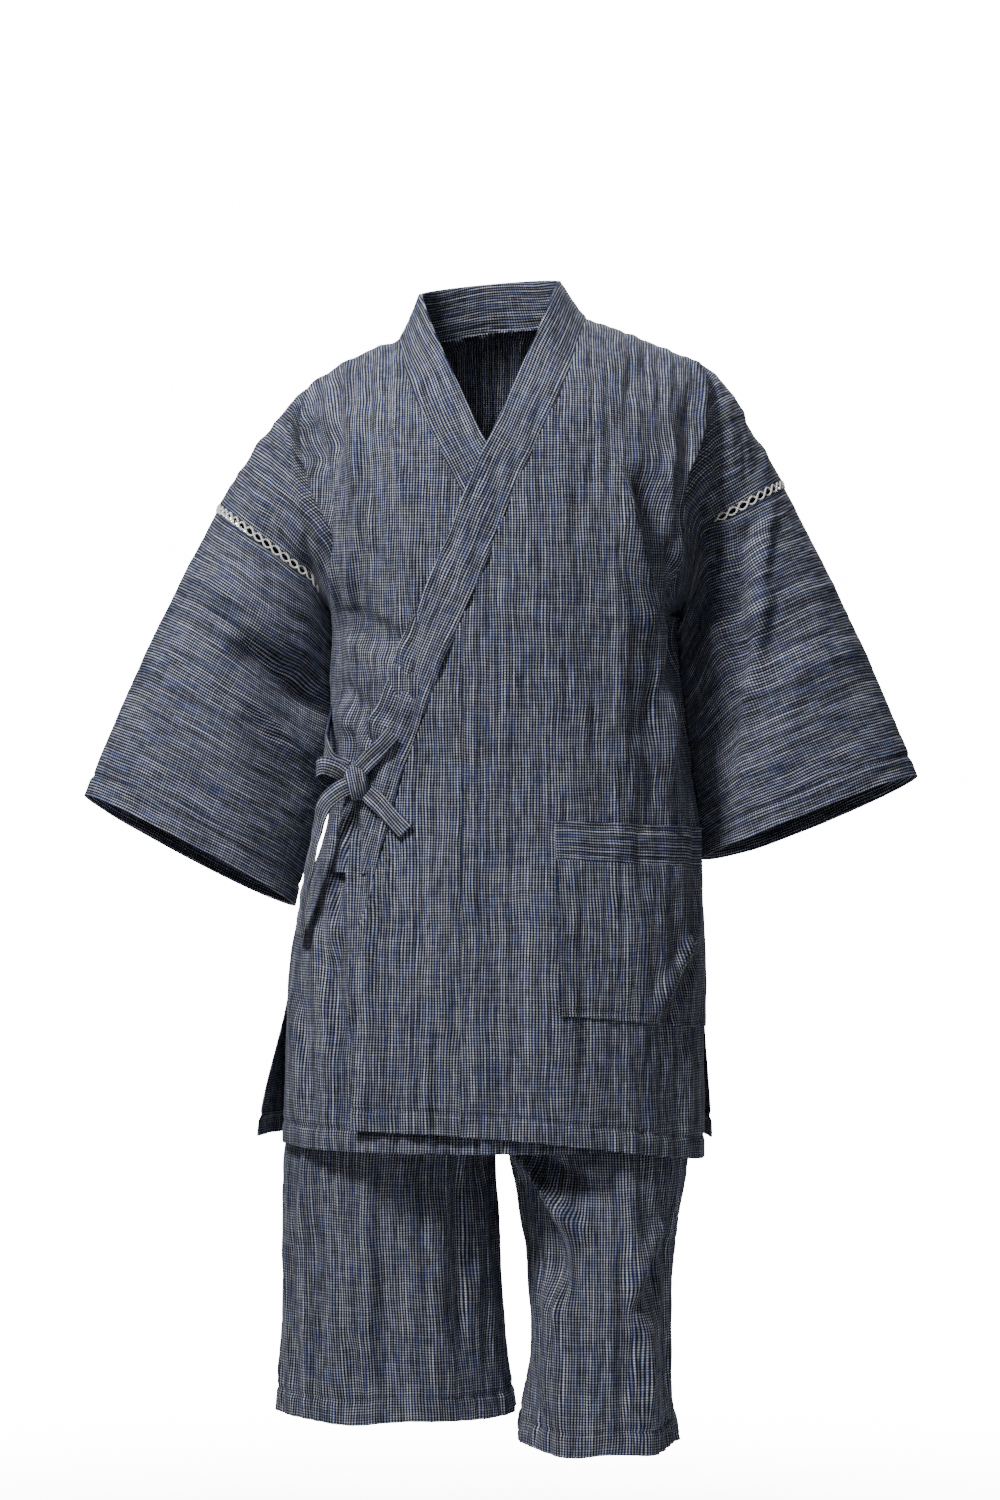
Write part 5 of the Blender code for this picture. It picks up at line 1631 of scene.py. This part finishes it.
@dataclass
class Bow:
    """The tied bow at the right waist: flat ties with turned edges, held by a wrapped knot."""

    sewing: Sewing
    tie_width: float = 0.0162
    rows: int = 48
    columns: int = 14
    knot_place: tuple[float, float, float] = (-0.1243, -0.0937, -0.4248)
    knot_size: tuple[float, float, float] = (0.0108, 0.0100, 0.0160)
    knot_turn: float = math.radians(-12.0)

    def tie(self, name: str, finishes: Finishes) -> bpy.types.Object:
        """Make one flat tie along its stations.

        Args:
            name: Name of its CAD node.
            finishes: The finishes.

        Returns:
            The new piece.
        """
        x, y, z, facing = TIE_STATIONS[name]
        knots = tuple(range(len(x)))
        at = np.linspace(0.0, len(x) - 1.0, self.rows + 1)
        middle = stack(Curve(knots, x)(at), Curve(knots, y)(at), Curve(knots, z)(at))
        turn = np.radians(Curve(knots, facing)(at))
        look = stack(-np.sin(turn), -np.cos(turn), 0.0 * turn)
        run = unit(np.gradient(middle, axis=0))
        aside = unit(np.cross(run, look))
        face = np.cross(aside, run)
        share = np.linspace(-0.5, 0.5, self.columns + 1)
        length = lengths_along(middle[:, None], 0)
        wave = Ripple(0.030, 1.0, 0.0005, len(name)).lift(length, 0.0 * length)
        curl = 0.0009 * np.cos(math.pi * share)[None, :] + wave * share[None, :] * 2.0
        width = self.tie_width * (1.0 + 0.03 * np.sin(9.0 * at / len(x)))[:, None]
        points = middle[:, None] + aside[:, None] * (share[None, :] * width)[..., None]
        points = points + face[:, None] * curl[..., None]
        grain = np.stack(np.broadcast_arrays(share[None, :] * self.tie_width + 0.5, length), axis=-1)
        outwards = int(np.sign((normals_of(points, 1) * look[:, None]).sum()))
        grid = ClothGrid(name + "_cloth", points, grain, outwards)
        for column in (1, self.columns - 1):
            self.sewing.note(points[:, column], grid.normals()[:, column], TIE_CLOTH / 2)
        piece = settle(grid.build(TIE_CLOTH, finishes.ties), (name,))
        return piece

    def knot(self, finishes: Finishes) -> bpy.types.Object:
        """Make the knot: the tie wrapped once round, gathered into soft pleats."""
        wraps, stations = 48, 20
        turn = np.linspace(0.0, 2.0 * math.pi, wraps + 1)[None, :]
        b = np.linspace(-1.0, 1.0, stations + 1)[:, None]
        swell = np.sqrt(np.maximum(1.0 - np.abs(b) ** 3.2 * 0.86, 0.0))
        pleat = 1.0 + 0.045 * np.cos(8.5 * b + 0.9 * np.sin(turn)) + 0.02 * np.sin(2.0 * turn + b)
        size_x, size_y, size_z = self.knot_size
        x = size_x * b * (1.0 + 0.05 * np.sin(turn)) + 0.0 * turn
        points = stack(x, -size_y * np.cos(turn) * swell * pleat, size_z * np.sin(turn) * swell * pleat)
        tilt = np.array(Matrix.Rotation(self.knot_turn, 3, "Y"))
        points = points @ tilt.T + np.array(self.knot_place)
        around = lengths_along(points, 1)
        grain = np.stack([b * size_x * 1.1 + 0.7 + 0.0 * turn, around], axis=-1)
        grid = ClothGrid("bow_knot_cloth", points, grain, -1, True)
        piece = grid.build(CLOTH, finishes.ties)
        piece.modifiers.clear()
        bm = bmesh.new()
        bm.from_mesh(piece.data)
        bmesh.ops.holes_fill(bm, edges=[edge for edge in bm.edges if edge.is_boundary], sides=0)
        bmesh.ops.recalc_face_normals(bm, faces=bm.faces[:])
        bm.to_mesh(piece.data)
        bm.free()
        return settle(piece, ("bow_knot",))

    def build(self, finishes: Finishes) -> list[bpy.types.Object]:
        """Make the knot and all the ties."""
        pieces = [self.knot(finishes)]
        pieces += [self.tie(name, finishes) for name in TIE_STATIONS]
        return pieces


CROTCH_Z = -0.700
LEG_Z = {side: (hem, -0.950, -0.860, -0.780, CROTCH_Z)
         for side, hem in ((Side.RIGHT, -1.012), (Side.LEFT, -1.032))}
HIP_Z = (CROTCH_Z, -0.640, -0.600, -0.520, -0.440)


@dataclass(frozen=True)
class ShortsForm:
    """The shorts' surfaces: v runs from -1 at the hem over 0 at the crotch to 1 at the waist."""

    hip_x: float = 0.006
    round: float = 2.2

    INNER = {Side.RIGHT: Curve(LEG_Z[Side.RIGHT], (0.0200, 0.0120, 0.0060, 0.0020, 0.0051)),
             Side.LEFT: Curve(LEG_Z[Side.LEFT], (0.0240, 0.0360, 0.0320, 0.0180, 0.0069))}
    OUTER = {Side.RIGHT: Curve(LEG_Z[Side.RIGHT], (-0.199, -0.196, -0.196, -0.1945, -0.184)),
             Side.LEFT: Curve(LEG_Z[Side.LEFT], (0.172, 0.163, 0.166, 0.180, 0.185))}
    FRONT = {Side.RIGHT: Curve(LEG_Z[Side.RIGHT], (-0.085, -0.085, -0.088, -0.095, -0.105)),
             Side.LEFT: Curve(LEG_Z[Side.LEFT], (-0.140, -0.136, -0.130, -0.120, -0.112))}
    BACK = {Side.RIGHT: Curve(LEG_Z[Side.RIGHT], (0.075, 0.078, 0.085, 0.090, 0.100)),
            Side.LEFT: Curve(LEG_Z[Side.LEFT], (0.062, 0.066, 0.074, 0.084, 0.098))}
    HALF = Curve(HIP_Z, (0.183, 0.176, 0.168, 0.146, 0.128))
    HIP_FRONT = Curve(HIP_Z, (-0.112, -0.112, -0.108, -0.098, -0.086))
    HIP_BACK = Curve(HIP_Z, (0.104, 0.104, 0.102, 0.094, 0.082))

    def full(self, turn: Array) -> Array:
        """Sine or cosine of a section that is fuller than an ellipse."""
        return np.copysign(np.abs(turn) ** (2 / self.round), turn)

    def leg(self, side: Side, z: Array, c: Array) -> Array:
        """Points of a leg's section; c runs from the inseam over the front, the outside and the back."""
        inner, outer = self.INNER[side](z), self.OUTER[side](z)
        front, back = self.FRONT[side](z), self.BACK[side](z)
        angle = 2.0 * math.pi * c
        turn_x, turn_y = self.full(np.cos(angle)), self.full(np.sin(angle))
        x = (inner + outer) / 2 + (inner - outer) / 2 * turn_x
        y = (front + back) / 2 + (front - back) / 2 * turn_y
        return stack(x, y + np.where(c > 0.5, SEAM, -SEAM) * (1.0 - np.abs(turn_y)), z)

    def hip(self, side: Side, z: Array, c: Array) -> Array:
        """Points of the half section above the legs, from the centre front to the centre back."""
        angle = math.pi * c
        front, back = self.HIP_FRONT(z), self.HIP_BACK(z)
        x = self.hip_x + side * self.HALF(z) * np.abs(np.sin(angle)) ** (2 / self.round)
        return stack(x, (front + back) / 2 + (front - back) / 2 * self.full(np.cos(angle)), z)

    def panel(self, side: Side, v: Array, c: Array) -> Array:
        """Points of a leg panel."""
        v, c = np.broadcast_arrays(v, c)
        low = self.leg(side, mix(LEG_Z[side][0], CROTCH_Z, np.minimum(1.0 + v, 1.0)), c)
        z = mix(CROTCH_Z, HIP_Z[-1], np.maximum(v, 0.0))
        share = ease(0.0, 0.62, v)
        high = low + (self.hip(side, z, c) - low) * share[..., None]
        high[..., 2] = z
        inside = self.hip_x + side * mix(0.0009, 0.0005, ease(0.3, 1.0, share))
        outer = np.maximum if side == Side.LEFT else np.minimum
        high[..., 0] = outer(high[..., 0], inside)
        return np.where((v > 0.0)[..., None], high, low)


@dataclass
class ShortsLeg:
    """One leg panel of the shorts, from the knee hem to the waist."""

    form: ShortsForm
    side: Side
    sewing: Sewing
    hem_rows: int = 16
    leg_rows: int = 72
    hip_rows: int = 44
    columns: int = 150
    hem: Hem = Hem(0.021)

    def build(self, finishes: Finishes) -> bpy.types.Object:
        v = spaced((-1.0, -0.90, self.hem_rows), (-0.90, 0.0, self.leg_rows), (0.0, 1.0, self.hip_rows))
        c = np.linspace(0.0, 1.0, self.columns + 1)
        points = self.form.panel(self.side, v[:, None], c[None, :])
        x, z = points[..., 0], points[..., 2]
        outwards = int(self.side)
        normals = normals_of(points, outwards)
        around = lengths_along(points, 1)
        mid = self.columns // 4
        grain = np.stack([around - around[:, mid:mid + 1] + 0.4, z], axis=-1)
        is_front = (normals[..., 1] < 0).astype(float) * np.minimum(np.abs(normals[..., 1]) * 2.0, 1.0)
        lift = Drape(SHORTS_DRAPE.folds, ()).lift(x, z) * is_front
        lift = lift + Drape((), SHORTS_DRAPE.ripples).lift(around, z)
        below = 1.0 - ease(-0.770, -0.700, z)
        seams = ease(0.0, 0.03, c) * (1.0 - ease(0.97, 1.0, c))
        lift = lift * mix(0.15, 1.0, below) * seams[None, :]
        height = lengths_along(points, 0)
        sway = Ripple(0.090, 3.0, 0.0035, 81 + int(self.side)).lift(around, 0.0 * around)
        lift = lift + sway * (1.0 - ease(0.0, 0.16, height)) * np.sin(math.pi * c)[None, :]
        lift = lift - self.hem.sunk(height)
        dip = Ripple(0.120, 3.0, 0.0022, 85 + int(self.side)).lift(around, 0.0 * around)
        points = points + normals * lift[..., None]
        points[..., 2] += dip * (1.0 - ease(0.0, 0.06, height)) * np.sin(math.pi * c)[None, :] ** 0.5
        name = self.side.named("leg")
        grid = ClothGrid(name + "_cloth", points, grain, outwards, False, self.hem.double(height))
        edge = self.hem.row(height[:, 10])
        self.sewing.note(points[edge], grid.normals()[edge], HEM_CLOTH / 2)
        piece = settle(grid.build(CLOTH, finishes.cotton), (name,))
        LOG.info("%s area %.3f", name, grid.area())
        return piece


@dataclass
class Waistband:
    """The elastic waistband, ruffled in its casing and hidden by the jacket."""

    form: ShortsForm
    columns: int = 220
    rows: int = 8
    height: float = 0.040
    thickness: float = 0.0026

    def build(self, finishes: Finishes) -> bpy.types.Object:
        half = self.columns // 2
        c = np.arange(half) / half
        top = np.asarray(HIP_Z[-1])
        right = self.form.hip(Side.RIGHT, top + 0.0 * c, c)
        left = self.form.hip(Side.LEFT, top + 0.0 * c, 1.0 - c)
        ring = np.concatenate([right, left, right[:1]])
        rise = np.linspace(SEAM, self.height, self.rows + 1)
        points = ring[None] + stack(0.0, 0.0, rise)[:, None]
        around = lengths_along(points, 1)
        normals = normals_of(points, -1)
        ruffle = 0.0005 * np.sin(around / 0.011 * 2.0 * math.pi)
        ruffle = ruffle * np.sin(math.pi * rise / self.height)[:, None]
        points = points + normals * ruffle[..., None]
        points[:, -1] = points[:, 0]
        grain = np.stack([np.broadcast_to(rise[:, None], around.shape), around], axis=-1)
        grid = ClothGrid("waistband_cloth", points, grain, -1, True)
        piece = settle(grid.build(self.thickness, finishes.elastic), ("waistband",))
        return piece


@dataclass
class Studio:
    """Pale floor, even pale surroundings, soft lights, and the camera at the photograph's place."""

    camera_place: tuple[float, float, float] = (0.0066, -3.329, -0.3948)
    lens: float = 85.0
    floor_z: float = -1.45
    ambient: float = 0.05
    backdrop: float = 16.0

    def floor(self) -> bpy.types.Object:
        """Make the wide pale floor, which fades into the surroundings."""
        bm = bmesh.new()
        bmesh.ops.create_circle(bm, cap_ends=True, segments=96, radius=3.0,
                                matrix=Matrix.Translation((0.0, 0.0, self.floor_z)))
        mesh = bpy.data.meshes.new("studio_floor")
        bm.to_mesh(mesh)
        bm.free()
        material, tree, shader = new_material("matt_white_vinyl_floor")
        shader.inputs["Base Color"].default_value = to_linear("f4f4f4")
        shader.inputs["Roughness"].default_value = 0.9
        place = add_node(tree, "ShaderNodeTexCoord")
        reach = add_node(tree, "ShaderNodeVectorMath", {0: place.outputs["Object"], 1: (1.0, 1.0, 0.0)},
                         operation="MULTIPLY")
        reach = add_node(tree, "ShaderNodeVectorMath", {0: reach.outputs[0]}, operation="LENGTH")
        inputs = {"Value": reach, "From Min": 0.7, "From Max": 2.4, "To Min": 1.0, "To Max": 0.0}
        fade = add_node(tree, "ShaderNodeMapRange", inputs, interpolation_type="SMOOTHSTEP")
        tree.links.new(fade.outputs[0], shader.inputs["Alpha"])
        mesh.materials.append(material)
        floor = add_object("studio_floor", mesh)
        return floor

    def lamp(self, name: str, place: tuple[float, float, float], size: float, power: float) -> None:
        """Add a soft square lamp that looks at the set."""
        data = bpy.data.lights.new(name, "AREA")
        data.energy = power
        data.size = size
        lamp = add_object(name, data)
        lamp.location = place
        lamp.rotation_euler = (Vector((0.0, 0.0, -0.25)) - Vector(place)).to_track_quat("-Z", "Y").to_euler()

    def build(self) -> None:
        """Make the floor, the lights and the camera."""
        self.floor()
        self.lamp("key", (-1.0, -1.4, 1.35), 0.5, 64.0)
        self.lamp("fill", (0.6, -2.4, 1.3), 1.2, 8.0)
        self.lamp("top", (0.3, 0.3, 2.0), 1.2, 16.0)
        self.lamp("rear", (0.7, 2.4, 1.2), 1.2, 55.0)
        world = bpy.data.worlds.new("pale_surroundings")
        world.use_nodes = True
        tree = world.node_tree
        back = tree.nodes["Background"]
        back.inputs["Color"].default_value = to_linear("ffffff")
        # The backdrop is lit apart from the set: white to the eye, dim as a light
        path = add_node(tree, "ShaderNodeLightPath")
        strength = add_node(tree, "ShaderNodeMapRange", {"Value": path.outputs["Is Camera Ray"],
                                                         "To Min": self.ambient, "To Max": self.backdrop})
        tree.links.new(strength.outputs[0], back.inputs["Strength"])
        bpy.context.scene.world = world
        data = bpy.data.cameras.new("camera")
        data.lens = self.lens
        data.sensor_width = 36.0
        camera = add_object("camera", data)
        camera.location = self.camera_place
        camera.rotation_euler = (math.radians(90.0), 0.0, 0.0)
        bpy.context.scene.camera = camera


def main() -> None:
    """Build the set piece by piece over the frame."""
    logging.basicConfig(level=logging.INFO, format="%(message)s")
    np.seterr(divide="ignore", invalid="ignore")
    finishes = Finishes(
        cotton=YarnDyedCotton().build(),
        ties=YarnDyedCotton("yarn_dyed_cotton_ties", warp_pitch=0.0025, seed=4.0, cut=0.45).build(),
        lacing=CottonThread().build(),
        sewing=CottonThread("indigo_sewing_thread", "252f4c", "141a2c", 0.8).build(),
        elastic=ElasticBand().build(),
    )
    jacket, shorts, sewing = JacketForm(), ShortsForm(), Sewing()
    for side in (Side.RIGHT, Side.LEFT):
        BodyPanel(jacket, side, sewing).build(finishes)
        Gore(jacket, side, sewing).build(finishes)
        Lacing(jacket, side).build(finishes)
        Sleeve(jacket, side, sewing).build(finishes)
        SlitThreads(jacket, side).build(finishes)
        ShortsLeg(shorts, side, sewing).build(finishes)
        LOG.info("%s side built", side.name.lower())
    CollarBand(jacket, sewing).build(finishes)
    Pocket(BodyPanel(jacket, Side.LEFT, sewing)).build(finishes)
    Bow(sewing).build(finishes)
    Waistband(shorts).build(finishes)
    sewing.build(finishes)
    LOG.info("collar, pocket, bow, waistband and sewing built")
    Studio().build()


if __name__ == "__main__":
    main()
